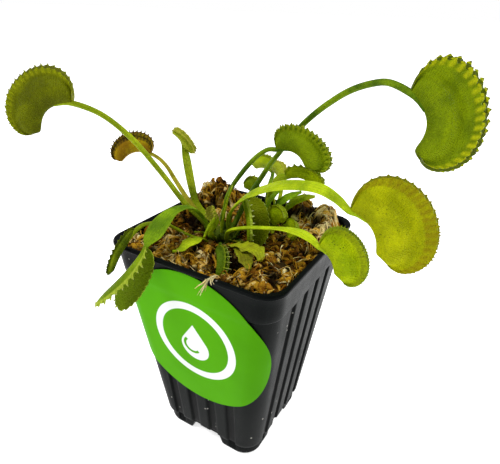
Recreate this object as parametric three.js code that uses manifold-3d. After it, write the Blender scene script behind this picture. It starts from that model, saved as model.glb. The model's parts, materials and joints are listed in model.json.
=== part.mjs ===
// Potted Venus flytrap: a square nursery pot, the moss in it, a round label and a rosette of
// leaves. Millimetres, +Z up. The origin is on the pot's axis at the level the feet stand on.
// The label is on the -Y side and the open fluted side beside it faces +X.
import * as THREE from 'three';
import { mergeVertices } from 'three/addons/utils/BufferGeometryUtils.js';
import Module from 'manifold-3d';

const wasm = await Module();
wasm.setup();

// ---------------------------------------------------------------- driving dimensions

const FIT = 0.35; // running clearance between neighbouring solids

const POT = {
  height: 99,
  rimHalf: 38,
  rimCorner: 9,
  lipDrop: 1.7, // height of the bead round the rim
  collarBottom: 85.4,
  collarHalfTop: 36.9,
  collarHalfBottom: 35.5,
  bodyHalfTop: 35,
  bodyHalfBottom: 25.45,
  bodyBottom: 6,
  bottomCorner: 8,
  footHalf: 24.4,
  footHeight: 5,
  footGap: 14, // width of the raised channels between the corner feet
  wall: 1.1,
  floorTop: 6.7,
  lipRound: 0.35,
  step: 0.4, // height or plan size of the small steps at the feet and under the collar
  innerCorner: 1, // how much smaller the corner radius is inside
  cornerSegments: 4,
};

const FLUTE = {
  count: 4,
  width: 4.6,
  slope: 0.7, // plan length of each slanted flank
  depth: 0.9,
  pitchBottom: 9.55,
  pitchTop: 10.9,
  top: 84.6,
  archDrop: 2.6,
};

const DRAIN = { radius: 2.4, offset: 14, sides: 10 };

const LABEL = {
  radius: 33.3,
  centreZ: 63.6,
  shift: 1.2, // distance of its centre from the middle of the face
  thickness: 0.6,
  corner: 8.6,
  slope: 0.12,
  gap: 0.4,
  turns: [0, 0.2, 0.4, 0.6, 0.8, 1, 1.12, 1.24, 1.36, 1.48, 1.56],
};

const MOSS = {
  bottom: 7.1,
  level: 94.4,
  edgeTop: 97.4,
  rings: 13,
  flatSteps: 6,
  ripple: 0.8,
};

// Each mound or hollow: x, y, rise, spread.
const MOUNDS = [
  [-23.5, 20.5, 12.5, 9.5],
  [-31, 7, 5, 6],
  [14, 30, 10, 8],
  [29, 27, 10, 8],
  [30, 9, 4, 9],
  [25, -18, 2, 10],
  [-25, -18, 1.5, 8],
  [-8, 0, -6, 9],
  [2, 20, -5, 8],
  [7, -21, -6.5, 8],
  [8, -2, -4, 7],
  [-22, -4, -3, 6],
];

const CROWN = {
  radius: 5.4,
  rootDepth: 7,
  holeGap: 0.5,
  leafGap: 0.45,
  sides: 16,
  // The knob's outline from the stub's foot to the top: shares of the radius, then heights.
  profile: [[0, -7], [0.74, -7], [0.74, -3.5], [0.85, -2.4], [1, 0], [0.9, 2.4], [0.6, 4.3], [0, 5.2]],
};
const CROWNS = {
  crown_main: [-8, 0, 91],
  crown_rear: [2, 20, 92],
};

const COLOUR = {
  pot: 0x2b2d2f,
  moss: 0x8a6428,
  label: 0x5fc300,
  crown: 0x4f7a12,
  bright: 0x9dbe10,
  lime: 0x86a80c,
  olive: 0x6f8f10,
  dark: 0x3f6b12,
  pale: 0xb4bd3c,
  brown: 0x7a4a18,
};

// ---------------------------------------------------------------- the leaves
//
// root: [azimuth, elevation] in degrees of the spot on the crown that the leaf grows from.
// roll: degrees by which the blade's face is turned about its length, none if left out.
// stalk: points after the root as [x, y, z, width, thickness]; the last one is the hinge.
// trap: the two lobes. tip is the far end of the midrib, crest the top of the lobes' outline
//   halfway along it, ears how far the outline runs past the hinge and past the tip and sag
//   how far the midrib bows towards the crest, all three as parts of the midrib's length.
//   bulge is the half thickness of the shut trap, open the half angle of a gaping one, ridge
//   the share of a lobe's length at which the shut lobes meet, if it isn't the usual one.

const LEAVES = [
  {
    name: 'leaf_far_left', crown: 'crown_main', root: [205, 45], colour: 'lime',
    stalk: [
      [-17, -3.5, 101, 2.7, 2], [-22, -6, 106.5, 3, 2.1], [-32, -10, 120.5, 2.9, 2],
      [-42, -15, 134, 2.8, 2], [-50, -21.5, 143, 2.6, 1.9], [-57, -28, 147, 2.2, 1.8],
    ],
    trap: {
      tip: [-66.5, -37, 134.5], crest: [-75.8, -38, 153.5], ears: [0.32, 0.27], sag: 0.28,
      bulge: 4, ridge: 0.82, stations: 24, tooth: 1.2,
    },
  },
  {
    name: 'leaf_old_brown', crown: 'crown_main', root: [172, 22], colour: 'brown',
    stalk: [
      [-20, 0.5, 99.5, 2.4, 1.6], [-29, 3, 105, 2.4, 1.6], [-40, 8, 110.5, 2.2, 1.6],
      [-46, 10.5, 114, 2, 1.5], [-52, 12, 116.5, 1.8, 1.5], [-58, 13, 117.5, 1.6, 1.4],
    ],
    trap: {
      tip: [-71.2, 5.4, 112], crest: [-68, 10, 126.5], ears: [0.17, 0.14], sag: 0.2,
      bulge: 2.4, stations: 17, tooth: 1.2,
    },
  },
  {
    name: 'leaf_pale_upright', crown: 'crown_main', root: [146, 40], colour: 'pale',
    stalk: [
      [-19, 4.6, 98, 2.6, 1.4], [-27, 6.8, 102.5, 3.4, 1.4], [-29.5, 7, 110, 4.2, 1.4],
      [-33, 8.5, 121, 4.2, 1.4], [-35, 9.5, 126.5, 2.4, 1.3],
    ],
    trap: {
      tip: [-39, 7, 132], crest: [-34, 8, 132.5], ears: [0.75, 0.1], sag: 0.1,
      bulge: 1.6, stations: 12, tooth: 0.7,
    },
  },
  {
    name: 'leaf_centre_top', crown: 'crown_main', root: [105, 68], colour: 'dark',
    stalk: [
      [-10.5, 3.5, 100, 3.8, 2], [-10, 4.5, 104, 3.8, 2], [-9.5, 5.5, 109, 3.5, 1.9],
      [-7, 6.5, 115, 3.1, 1.9], [-4, 7.5, 120, 2.9, 1.9], [-0.5, 8.5, 125, 2.9, 1.9],
      [3, 9.5, 129, 2.9, 1.8], [6.5, 10.5, 131.5, 2.6, 1.7], [10, 11, 132, 2, 1.6],
    ],
    trap: {
      tip: [22.5, 13, 125], crest: [24.5, 19, 137], ears: [0.3, 0.42], sag: 0.23,
      bulge: 3.4, ridge: 0.8, stations: 20, tooth: 1,
    },
  },
  {
    name: 'leaf_right_top', crown: 'crown_main', root: [70, 38], colour: 'olive',
    stalk: [
      [-5.5, 8, 99.5, 3, 2.1], [-4.5, 13, 106, 3.2, 2.1], [-2, 18, 113, 3.2, 2.1],
      [1, 21.5, 120, 3.1, 2.1], [5, 24, 127, 2.9, 2], [12, 25.5, 137.5, 2.6, 2],
      [18, 25, 144, 2.4, 2], [25, 23.5, 150, 2.4, 2], [33, 21, 155.5, 2.4, 2],
      [41, 18, 159, 2.5, 2], [48, 14.5, 160.5, 2.6, 2], [56, 11.5, 158.5, 2.2, 1.9],
    ],
    trap: {
      tip: [60.7, 5.2, 140.4], crest: [78.6, 19.6, 155.7], ears: [0.55, 0.26], sag: 0.28,
      bulge: 4.8, ridge: 0.62, stations: 26, tooth: 1.4,
    },
  },
  {
    name: 'leaf_right', crown: 'crown_main', root: [5, 58], colour: 'bright',
    stalk: [
      [-5, 0.4, 100, 3.4, 1.8], [-4, 0, 105, 5, 1.7], [0, -0.3, 111, 5.4, 1.6],
      [5.5, -1, 115.8, 6.4, 1.6], [11, -1.5, 119, 6.8, 1.6], [18.5, -3.5, 123, 6.6, 1.6],
      [28, -5.5, 126, 6, 1.6], [37, -8, 127.4, 5.2, 1.6], [44, -10.5, 126.2, 3.8, 1.7],
      [49.4, -13.3, 124.6, 2.2, 1.8],
    ],
    roll: 24,
    trap: {
      tip: [60.2, -14.6, 110.6], crest: [80.4, -3, 116.6], ears: [0.32, 0.5], sag: 0.22,
      bulge: 4.6, ridge: 0.62, stations: 24, tooth: 1.2,
    },
  },
  {
    name: 'leaf_front_right', crown: 'crown_main', root: [-38, 34], colour: 'bright',
    stalk: [
      [-2, -4.5, 99, 2.6, 1.6], [8, -8, 105, 3, 1.6], [19, -10.5, 109, 3.2, 1.6],
      [27, -12.5, 111.5, 4.6, 1.5], [33, -14, 112.5, 5.6, 1.5], [38, -16, 112.5, 4.2, 1.5],
      [42, -17.5, 111.5, 2, 1.6],
    ],
    trap: {
      tip: [49, -18, 101.8], crest: [57.3, -11.6, 109.8], ears: [0.3, 0.45], sag: 0.15,
      bulge: 3, ridge: 0.76, stations: 20, tooth: 1,
    },
  },
  {
    name: 'leaf_centre_open', crown: 'crown_main', root: [10, 14], colour: 'olive',
    stalk: [
      [0.5, 0.5, 93.5, 2, 1.4], [3.2, -0.1, 92.5, 2, 1.4], [5.6, -0.9, 93, 1.8, 1.4],
    ],
    trap: {
      tip: [-1.7, 6.8, 108], crest: [10.8, 0.5, 105.6], ears: [0.06, 0.1], sag: 0.08,
      open: 40, stations: 18, tooth: 1.1,
    },
  },
  {
    name: 'leaf_front_open', crown: 'crown_main', root: [238, 44], colour: 'dark',
    stalk: [
      [-13, -5, 101, 2.4, 1.5], [-15, -8.5, 106.5, 4.1, 1.9], [-16, -12, 109, 5, 2.1],
      [-17, -17, 110, 5.4, 1.7], [-17.5, -22, 109.5, 6.5, 1.2], [-17, -28, 107.5, 8.6, 1.2],
      [-16, -33.5, 105, 7.6, 1.3], [-15, -38.5, 103.5, 2, 1.4],
    ],
    trap: {
      tip: [-21.4, -48.8, 89.6], crest: [-11.4, -46.4, 93.6], ears: [0, 0.47], sag: 0.04,
      open: 43, stations: 20, tooth: 1.3,
    },
  },
  {
    name: 'leaf_left_hanging', crown: 'crown_main', root: [222, 12], colour: 'dark',
    stalk: [
      [-15.5, -11, 95.5, 2, 1.4], [-20.5, -14.5, 99, 2.2, 1.4], [-24, -18.5, 102.5, 2.4, 1.4],
      [-25, -24.5, 104.5, 2.6, 1.4], [-25, -29.5, 105.5, 2.4, 1.4], [-24.5, -34, 105, 1.8, 1.4],
    ],
    trap: {
      tip: [-25.5, -45.5, 93], crest: [-28, -41, 100], ears: [0.04, 0.1], sag: 0.04,
      bulge: 1.5, stations: 16, tooth: 0.6,
    },
  },
  {
    name: 'leaf_front_small', crown: 'crown_main', root: [-62, 18], colour: 'dark',
    stalk: [
      [-3, -9, 94.8, 1.8, 1.3], [-0.5, -14, 95.6, 1.8, 1.3], [1.8, -17.8, 96.6, 1.6, 1.3],
    ],
    trap: {
      tip: [7.5, -25.8, 91.5], crest: [10, -23.5, 98.5], ears: [0.1, 0.15], sag: 0.16,
      bulge: 3.2, stations: 14, tooth: 0.8,
    },
  },
  {
    name: 'leaf_torn', crown: 'crown_main', root: [-32, 8], colour: 'pale',
    stalk: [
      [1, -7.5, 95, 2.2, 1.2], [6, -11.5, 98.5, 6, 1.1], [12, -13.5, 100.5, 8, 1],
      [18, -15, 100.5, 5.5, 1], [20.5, -17.5, 99, 1.8, 1],
    ],
    prong: [[8, -12.5, 99, 4.4, 1], [14.5, -18.5, 99, 6, 1], [18.5, -22.5, 97, 1.8, 1]],
  },
  {
    name: 'leaf_young', crown: 'crown_main', root: [262, 34], colour: 'bright',
    stalk: [
      [-9.5, -7, 97, 2, 1.4], [-7, -5.5, 102.5, 2.2, 1.3], [-7.5, -5.5, 105, 1.8, 1.3],
    ],
    trap: {
      tip: [-9.5, -5, 108.5], crest: [-8.5, -8.5, 107.5], ears: [0.15, 0.1], sag: 0.05,
      open: 35, stations: 12, tooth: 0.9,
    },
    prong: [[-7.5, -5.5, 104.5, 1.8, 1], [-8, -9.5, 101.5, 1.7, 1], [-8.5, -12.5, 98, 0.8, 0.8]],
  },
  {
    name: 'leaf_spoon', crown: 'crown_main', root: [262, 4], colour: 'bright',
    stalk: [
      [-10.5, -10, 95.5, 2, 1.1], [-10, -14.5, 98, 4.5, 1], [-9, -20, 99, 6.5, 1],
      [-8.5, -24, 99.5, 4.5, 1], [-8.5, -27.5, 99, 3, 1], [-9.5, -30.5, 99.5, 1.2, 1],
    ],
  },
  {
    name: 'leaf_round_small', crown: 'crown_rear', root: [-58, 10], colour: 'lime',
    stalk: [[8, 12, 96.5, 1.8, 1.3], [12.5, 8.5, 101, 1.6, 1.3]],
    trap: {
      tip: [17.5, 7, 104], crest: [14.5, 8.5, 111], ears: [0.2, 0.25], sag: 0.1,
      bulge: 1.4, stations: 14, tooth: 0.8,
    },
  },
  {
    name: 'leaf_low_right', crown: 'crown_rear', root: [-25, 12], colour: 'lime',
    stalk: [
      [12, 14.5, 96.5, 1.8, 1.2], [16, 10.5, 101, 2.6, 1.2], [18, 8, 102.5, 1.6, 1.2],
    ],
    trap: {
      tip: [21, 3.5, 99.5], crest: [23.5, 6.5, 104], ears: [0.25, 0.2], sag: 0.1,
      bulge: 1.5, stations: 12, tooth: 0.7,
    },
  },
  {
    name: 'leaf_back_yellow', crown: 'crown_rear', root: [110, 48], colour: 'pale',
    stalk: [
      [-2, 28, 102, 2, 1.4], [-6.5, 38.5, 105.5, 2, 1.4], [-11.5, 50.5, 107, 1.8, 1.4],
    ],
    trap: {
      tip: [-24.5, 55.5, 105], crest: [-19, 55, 114], ears: [0.12, 0.12], sag: 0.12,
      bulge: 2.4, stations: 16, tooth: 0.9,
    },
  },
  {
    name: 'leaf_back_small', crown: 'crown_rear', root: [62, 44], colour: 'pale',
    stalk: [
      [4.5, 26.5, 102, 1.8, 1.3], [2.5, 33, 106.5, 1.8, 1.3], [-0.5, 37, 109, 1.6, 1.3],
    ],
    trap: {
      tip: [-7, 41.5, 111.5], crest: [-3.5, 42, 117.5], ears: [0.2, 0.2], sag: 0.1,
      bulge: 2, stations: 12, tooth: 0.7,
    },
  },
  {
    name: 'leaf_back_dark', crown: 'crown_rear', root: [170, 42], colour: 'dark',
    stalk: [[-4, 21, 99.5, 1.8, 1.3], [-7, 23.5, 105.5, 1.8, 1.3]],
    trap: {
      tip: [-12.5, 24.5, 107], crest: [-10, 26, 113.5], ears: [0.15, 0.1], sag: 0.1,
      bulge: 1.4, stations: 14, tooth: 0.7,
    },
  },
  {
    name: 'leaf_broad_right', crown: 'crown_rear', root: [5, 58], colour: 'bright', roll: 60,
    stalk: [
      [6.5, 19.5, 103, 2.4, 1.3], [6, 18.2, 110.5, 3.2, 1.2], [7, 17.6, 115, 6, 1.1],
      [9.5, 18, 117.8, 5.6, 1.1], [12, 18.5, 118.8, 3, 1.2],
    ],
    trap: {
      tip: [25.4, 19.8, 116.4], crest: [19.4, 19.8, 124], ears: [0.1, 0.12], sag: 0.14,
      bulge: 1.9, stations: 12, tooth: 0.7,
    },
  },
  {
    name: 'leaf_thin_1', crown: 'crown_rear', root: [-28, 44], colour: 'dark', roll: 55,
    stalk: [
      [8.5, 16.5, 100.5, 2.4, 1.1], [10, 15, 107, 3.8, 1], [14.5, 15.5, 111.5, 3.8, 1],
      [20, 15.5, 115, 1.4, 0.9],
    ],
  },
  {
    name: 'leaf_thin_2', crown: 'crown_rear', root: [-66, 46], colour: 'olive', roll: 55,
    stalk: [
      [4, 15.5, 99.5, 2.2, 1.1], [5.5, 15, 106.5, 3.3, 1], [8.5, 14.5, 111.5, 3.3, 1],
      [11, 15, 114, 1.4, 0.9],
    ],
  },
  {
    name: 'leaf_thin_3', crown: 'crown_rear', root: [22, 26], colour: 'olive', roll: 55,
    stalk: [
      [10, 21.5, 97.5, 2.2, 1.1], [13, 18.5, 105.5, 3.8, 1], [19, 18, 111, 3.8, 1],
      [25.5, 16.5, 114, 1.4, 0.9],
    ],
  },
];

// ---------------------------------------------------------------- solids from rings

const lerp = THREE.MathUtils.lerp;
const clamp = THREE.MathUtils.clamp;
const Z_AXIS = new THREE.Vector3(0, 0, 1);
const vec = (values) => new THREE.Vector3(values[0], values[1], values[2]);

// A closed solid through rings of points, all of one count. A ring given as a single point
// closes that end to a tip; other ends are capped round their centre.
function ringSolid(rings) {
  const positions = [];
  const index = [];
  const starts = rings.map((ring) => {
    const start = positions.length / 3;
    ring.forEach((point) => positions.push(point.x, point.y, point.z));
    return start;
  });
  const triangle = (a, b, c) => index.push(a, b, c);
  for (let k = 0; k < rings.length - 1; k += 1) {
    const count = Math.max(rings[k].length, rings[k + 1].length);
    for (let i = 0; i < count; i += 1) {
      const j = (i + 1) % count;
      if (rings[k].length === 1) {
        triangle(starts[k], starts[k + 1] + j, starts[k + 1] + i);
      } else if (rings[k + 1].length === 1) {
        triangle(starts[k] + i, starts[k] + j, starts[k + 1]);
      } else {
        triangle(starts[k] + i, starts[k] + j, starts[k + 1] + j);
        triangle(starts[k] + i, starts[k + 1] + j, starts[k + 1] + i);
      }
    }
  }
  const cap = (k, turned) => {
    const ring = rings[k];
    if (ring.length === 1) return;
    const centre = ring.reduce((sum, p) => sum.add(p), new THREE.Vector3());
    centre.divideScalar(ring.length);
    const middle = positions.length / 3;
    positions.push(centre.x, centre.y, centre.z);
    for (let i = 0; i < ring.length; i += 1) {
      const j = (i + 1) % ring.length;
      if (turned) triangle(middle, starts[k] + j, starts[k] + i);
      else triangle(middle, starts[k] + i, starts[k] + j);
    }
  };
  cap(0, true);
  cap(rings.length - 1, false);
  const geometry = new THREE.BufferGeometry();
  geometry.setAttribute('position', new THREE.Float32BufferAttribute(positions, 3));
  geometry.setIndex(index);
  if (signedVolume(geometry) < 0) {
    for (let i = 0; i < index.length; i += 3) [index[i], index[i + 1]] = [index[i + 1], index[i]];
    geometry.setIndex(index);
  }
  return geometry;
}

function signedVolume(geometry) {
  const position = geometry.getAttribute('position');
  const index = geometry.getIndex();
  const [a, b, c] = [new THREE.Vector3(), new THREE.Vector3(), new THREE.Vector3()];
  let volume = 0;
  for (let i = 0; i < index.count; i += 3) {
    a.fromBufferAttribute(position, index.getX(i));
    b.fromBufferAttribute(position, index.getX(i + 1));
    c.fromBufferAttribute(position, index.getX(i + 2));
    volume += a.dot(b.cross(c)) / 6;
  }
  return volume;
}

// ---------------------------------------------------------------- joining and cutting

function toSolid(geometry) {
  const bare = geometry.clone();
  bare.deleteAttribute('normal');
  bare.deleteAttribute('uv');
  const merged = mergeVertices(bare, 1e-4);
  return new wasm.Manifold(new wasm.Mesh({
    numProp: 3,
    vertProperties: new Float32Array(merged.getAttribute('position').array),
    triVerts: new Uint32Array(merged.getIndex().array),
  }));
}

function toGeometry(solid) {
  const mesh = solid.getMesh();
  const geometry = new THREE.BufferGeometry();
  geometry.setAttribute('position', new THREE.Float32BufferAttribute(mesh.vertProperties, 3));
  geometry.setIndex(Array.from(mesh.triVerts));
  return geometry;
}

const joined = (geometries) => toGeometry(
  geometries.map(toSolid).reduce((sum, solid) => sum.add(solid)),
);
const cut = (geometry, tools) => toGeometry(
  tools.map(toSolid).reduce((rest, tool) => rest.subtract(tool), toSolid(geometry)),
);

// ---------------------------------------------------------------- the pot

const potCorner = (z) => lerp(POT.bottomCorner, POT.rimCorner, z / POT.height);

// A rounded square seen from above, counter-clockwise from the -Y side, with the flutes'
// edges as extra points where a flute depth is given.
function squareRing(z, half, corner, fluteDepth = null, flatSteps = 1) {
  const flat = half - corner;
  const pitch = lerp(FLUTE.pitchBottom, FLUTE.pitchTop, z / POT.collarBottom);
  const side = [[-flat, half]];
  if (fluteDepth !== null) {
    for (let i = 0; i < FLUTE.count; i += 1) {
      const centre = (i - (FLUTE.count - 1) / 2) * pitch;
      const edge = FLUTE.width / 2;
      side.push([centre - edge, half], [centre - edge + FLUTE.slope, half - fluteDepth]);
      side.push([centre + edge - FLUTE.slope, half - fluteDepth], [centre + edge, half]);
    }
  }
  for (let i = 1; i < flatSteps; i += 1) side.push([lerp(-flat, flat, i / flatSteps), half]);
  side.push([flat, half]);
  for (let i = 1; i < POT.cornerSegments; i += 1) {
    const angle = (i / POT.cornerSegments) * (Math.PI / 2);
    side.push([flat + corner * Math.sin(angle), flat + corner * Math.cos(angle)]);
  }
  const ring = [];
  for (let quarter = 0; quarter < 4; quarter += 1) {
    const turn = (quarter * Math.PI) / 2;
    side.forEach(([along, out]) => {
      ring.push(new THREE.Vector3(along, -out, z).applyAxisAngle(Z_AXIS, turn));
    });
  }
  return ring;
}

const bodyHalf = (z) => lerp(
  POT.bodyHalfBottom,
  POT.bodyHalfTop,
  (z - POT.bodyBottom) / (POT.collarBottom - POT.bodyBottom),
);

// Half the width of the pot's inside, level by level.
const CAVITY = [
  [POT.floorTop, bodyHalf(POT.floorTop) - FLUTE.depth - POT.wall],
  [FLUTE.top - FLUTE.archDrop, bodyHalf(FLUTE.top) - FLUTE.depth - POT.wall],
  [POT.collarBottom + 1, POT.collarHalfBottom - POT.wall],
  [POT.height, POT.collarHalfTop - POT.wall],
];

function cavityHalf(z) {
  const k = clamp(CAVITY.findIndex(([level]) => level >= z), 1, CAVITY.length - 1);
  const [[z0, half0], [z1, half1]] = [CAVITY[k - 1], CAVITY[k]];
  return lerp(half0, half1, (z - z0) / (z1 - z0));
}

function potGeometry() {
  const { lipRound, step } = POT;
  const lipBottom = POT.height - POT.lipDrop;
  const rings = [
    [0, POT.footHalf, FLUTE.depth],
    [POT.footHeight, POT.footHalf + step, FLUTE.depth],
    [POT.bodyBottom, POT.bodyHalfBottom, FLUTE.depth],
    [FLUTE.top - FLUTE.archDrop, bodyHalf(FLUTE.top - FLUTE.archDrop), FLUTE.depth],
    [FLUTE.top, bodyHalf(FLUTE.top), 0],
    [POT.collarBottom, POT.bodyHalfTop, 0],
    [POT.collarBottom + step, POT.collarHalfBottom, 0],
    [lipBottom, POT.collarHalfTop, 0],
    [lipBottom + lipRound, POT.rimHalf, 0],
    [POT.height - lipRound, POT.rimHalf, 0],
    [POT.height, POT.rimHalf - lipRound, 0],
  ].map(([z, half, depth]) => squareRing(z, half, potCorner(z), depth));
  const shell = ringSolid(rings);
  const openTop = POT.height + 1;
  const inside = ringSolid([...CAVITY, [openTop, cavityHalf(openTop)]].map(
    ([z, half]) => squareRing(z, half, potCorner(z) - POT.innerCorner),
  ));
  const channel = (x, y) => new THREE.BoxGeometry(x, y, POT.footHeight * 2);
  const across = POT.rimHalf * 2;
  const holes = [[0, 0], [1, 0], [-1, 0], [0, 1], [0, -1]].map(([x, y]) => {
    const hole = new THREE.CylinderGeometry(
      DRAIN.radius,
      DRAIN.radius,
      POT.floorTop * 4,
      DRAIN.sides,
    );
    hole.rotateX(Math.PI / 2);
    hole.translate(x * DRAIN.offset, y * DRAIN.offset, 0);
    return hole;
  });
  return cut(shell, [inside, channel(POT.footGap, across), channel(across, POT.footGap), ...holes]);
}

// ---------------------------------------------------------------- the moss

// Height of the moss at a place: a level bed with mounds, hollows and a gentle ripple.
function mossHeight(x, y) {
  const bumps = MOUNDS.reduce((sum, [mx, my, rise, spread]) => {
    const distance = Math.hypot(x - mx, y - my) / spread;
    return sum + rise * Math.exp(-distance * distance);
  }, 0);
  const ripple = Math.sin(0.55 * x + 1.4 * Math.sin(0.3 * y)) * Math.cos(0.47 * y - 0.2 * x);
  return MOSS.level + bumps + MOSS.ripple * ripple;
}

function mossGeometry() {
  const levels = [MOSS.bottom, FLUTE.top - FLUTE.archDrop, POT.collarBottom + 1];
  const outline = (z) => squareRing(
    z,
    cavityHalf(z) - FIT,
    potCorner(z) - POT.innerCorner,
    null,
    MOSS.flatSteps,
  );
  const rings = levels.map(outline);
  const top = outline(MOSS.level);
  for (let k = MOSS.rings; k > 0; k -= 1) {
    const shrink = k / MOSS.rings;
    rings.push(top.map((point) => {
      const [x, y] = [point.x * shrink, point.y * shrink];
      const height = mossHeight(x, y);
      return new THREE.Vector3(x, y, k === MOSS.rings ? Math.min(height, MOSS.edgeTop) : height);
    }));
  }
  rings.push([new THREE.Vector3(0, 0, mossHeight(0, 0))]);
  const wells = Object.values(CROWNS).map(([x, y, z]) => {
    const radius = CROWN.radius + CROWN.holeGap;
    const well = new THREE.CylinderGeometry(radius, radius, POT.height, CROWN.sides);
    well.rotateX(Math.PI / 2);
    well.translate(x, y, z - CROWN.rootDepth - FIT + POT.height / 2);
    return well;
  });
  return cut(ringSolid(rings), wells);
}

// ---------------------------------------------------------------- the label

const labelHalf = (z) => POT.collarHalfBottom + LABEL.slope * (z - POT.collarBottom) + LABEL.gap;

// A place on the smooth skin that the label lies on. Turn runs from -1 to 1 across the flat
// and on round each corner, one unit for each quarter turn.
function labelPoint(turn, z, lift) {
  const flat = labelHalf(z) - LABEL.corner;
  const bend = (clamp(Math.abs(turn) - 1, 0, 1) * Math.PI) / 2;
  const out = LABEL.corner + lift;
  const x = Math.min(Math.abs(turn), 1) * flat + out * Math.sin(bend);
  return new THREE.Vector3(Math.sign(turn) * x, -(flat + out * Math.cos(bend)), z);
}

// Distance along the skin from the middle of the label.
function labelReach(turn, z) {
  const flat = labelHalf(z) - LABEL.corner;
  const bend = (clamp(Math.abs(turn) - 1, 0, 1) * Math.PI) / 2;
  const reach = Math.min(Math.abs(turn), 1) * flat + bend * LABEL.corner;
  return Math.abs(Math.sign(turn) * reach - LABEL.shift);
}

// The level at which the label's round edge crosses one turn, above or below its centre.
function labelEdge(turn, sign) {
  let z = LABEL.centreZ;
  for (let pass = 0; pass < 40; pass += 1) {
    const reach = Math.min(labelReach(turn, z) / LABEL.radius, 1);
    z = lerp(z, LABEL.centreZ + sign * LABEL.radius * Math.sqrt(1 - reach * reach), 0.5);
  }
  return z;
}

function labelGeometry() {
  const turns = [...LABEL.turns.slice(1).reverse().map((turn) => -turn), ...LABEL.turns];
  const rings = turns.map((turn) => {
    const [low, high] = [labelEdge(turn, -1), labelEdge(turn, 1)];
    return [
      labelPoint(turn, low, LABEL.thickness),
      labelPoint(turn, high, LABEL.thickness),
      labelPoint(turn, high, 0),
      labelPoint(turn, low, 0),
    ];
  });
  return ringSolid(rings);
}

// ---------------------------------------------------------------- the crowns

function crownGeometry([x, y, z]) {
  const profile = CROWN.profile.map(
    ([share, height]) => new THREE.Vector2(share * CROWN.radius, height),
  );
  const knob = new THREE.LatheGeometry(profile, CROWN.sides);
  knob.rotateX(Math.PI / 2);
  knob.translate(x, y, z);
  return toGeometry(toSolid(knob));
}

// ---------------------------------------------------------------- leaf stalks and blades

// A strip with a flattened six-sided section along a smooth curve through the points.
function stripGeometry(points, stepsPerSpan, sideHint) {
  const curve = new THREE.CatmullRomCurve3(points.map(vec), false, 'centripetal');
  const spans = points.length - 1;
  const steps = spans * stepsPerSpan;
  const rings = [];
  for (let step = 0; step <= steps; step += 1) {
    const share = step / steps;
    const span = Math.min(Math.floor(share * spans), spans - 1);
    const local = share * spans - span;
    const width = lerp(points[span][3], points[span + 1][3], local);
    const thickness = lerp(points[span][4], points[span + 1][4], local);
    const centre = curve.getPoint(share);
    const along = curve.getTangent(share);
    const side = sideHint.clone().addScaledVector(along, -sideHint.dot(along)).normalize();
    const face = along.clone().cross(side);
    const ring = [];
    for (let corner = 0; corner < 6; corner += 1) {
      const angle = (corner * Math.PI) / 3;
      ring.push(centre.clone()
        .addScaledVector(side, (width / 2) * Math.cos(angle))
        .addScaledVector(face, (thickness / 2) * Math.sin(angle)));
    }
    rings.push(ring);
  }
  return ringSolid(rings);
}

// ---------------------------------------------------------------- traps

const LOBE = {
  skin: 0.7,
  rib: 0.9, // half thickness at the midrib
  ridge: 0.87, // share of the lobe's length at which the lobes meet
  ridgeHalf: 0.75,
  lip: 1.1, // half thickness of the flared margin
  swell: [[0.22, 0.8], [0.5, 1], [0.74, 0.62]], // share of the length, share of the bulge
  plainSwell: [[0.45, 1]],
  richStations: 16, // traps with more stations than this get the fuller section
  openSteps: 4,
  thinBelow: 3, // lobes shorter than this narrow towards the ends of the midrib
};

// The shut trap's section on one side of its middle plane, from the midrib out over the
// swollen lobe to the ridge and the flared lip, then back in to the seam. Shares of the lobe's
// length first, half thickness in millimetres second.
function shutSection(bulge, rich, ridge) {
  const swell = (rich ? LOBE.swell : LOBE.plainSwell).map(
    ([at, part]) => [(at * ridge) / LOBE.ridge, bulge * part],
  );
  return {
    outer: [[0, LOBE.rib], ...swell, [ridge, LOBE.ridgeHalf], [1, LOBE.lip]],
    inner: [[1, LOBE.lip - LOBE.skin]],
    seam: ridge,
  };
}

// The gaping trap's section: each lobe is a thin blade that leaves the midrib at half the
// gape and curls back in towards its margin.
function openSection(degrees, length) {
  const start = THREE.MathUtils.degToRad(degrees) * 1.25;
  const curl = THREE.MathUtils.degToRad(degrees) * 0.5;
  const steps = LOBE.openSteps;
  const outer = [[0, LOBE.rib]];
  const inner = [];
  let [out, across] = [0, LOBE.rib];
  for (let k = 1; k <= steps; k += 1) {
    const angle = start - curl * (k / steps) * 2;
    out += Math.cos(angle) / steps;
    across += (Math.sin(angle) * length) / steps;
    outer.push([out, across]);
    const back = (LOBE.skin * Math.sin(angle)) / length;
    inner.unshift([out + back, across - LOBE.skin * Math.cos(angle)]);
  }
  return { outer, inner: inner.slice(0, steps - 1), seam: 0.5 * inner[steps - 1][0] + 0.04 };
}

function trapFrame(trap, hinge) {
  const tip = vec(trap.tip);
  const along = tip.clone().sub(hinge);
  const chord = along.length();
  along.normalize();
  const rise = vec(trap.crest).sub(hinge.clone().add(tip).multiplyScalar(0.5));
  rise.addScaledVector(along, -rise.dot(along));
  const height = rise.length();
  const up = rise.clone().normalize();
  return { hinge, along, up, across: along.clone().cross(up), chord, height };
}

const midribPoint = (frame, trap, share) => frame.hinge.clone()
  .addScaledVector(frame.along, frame.chord * share)
  .addScaledVector(frame.up, frame.chord * trap.sag * 4 * share * (1 - share));

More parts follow.
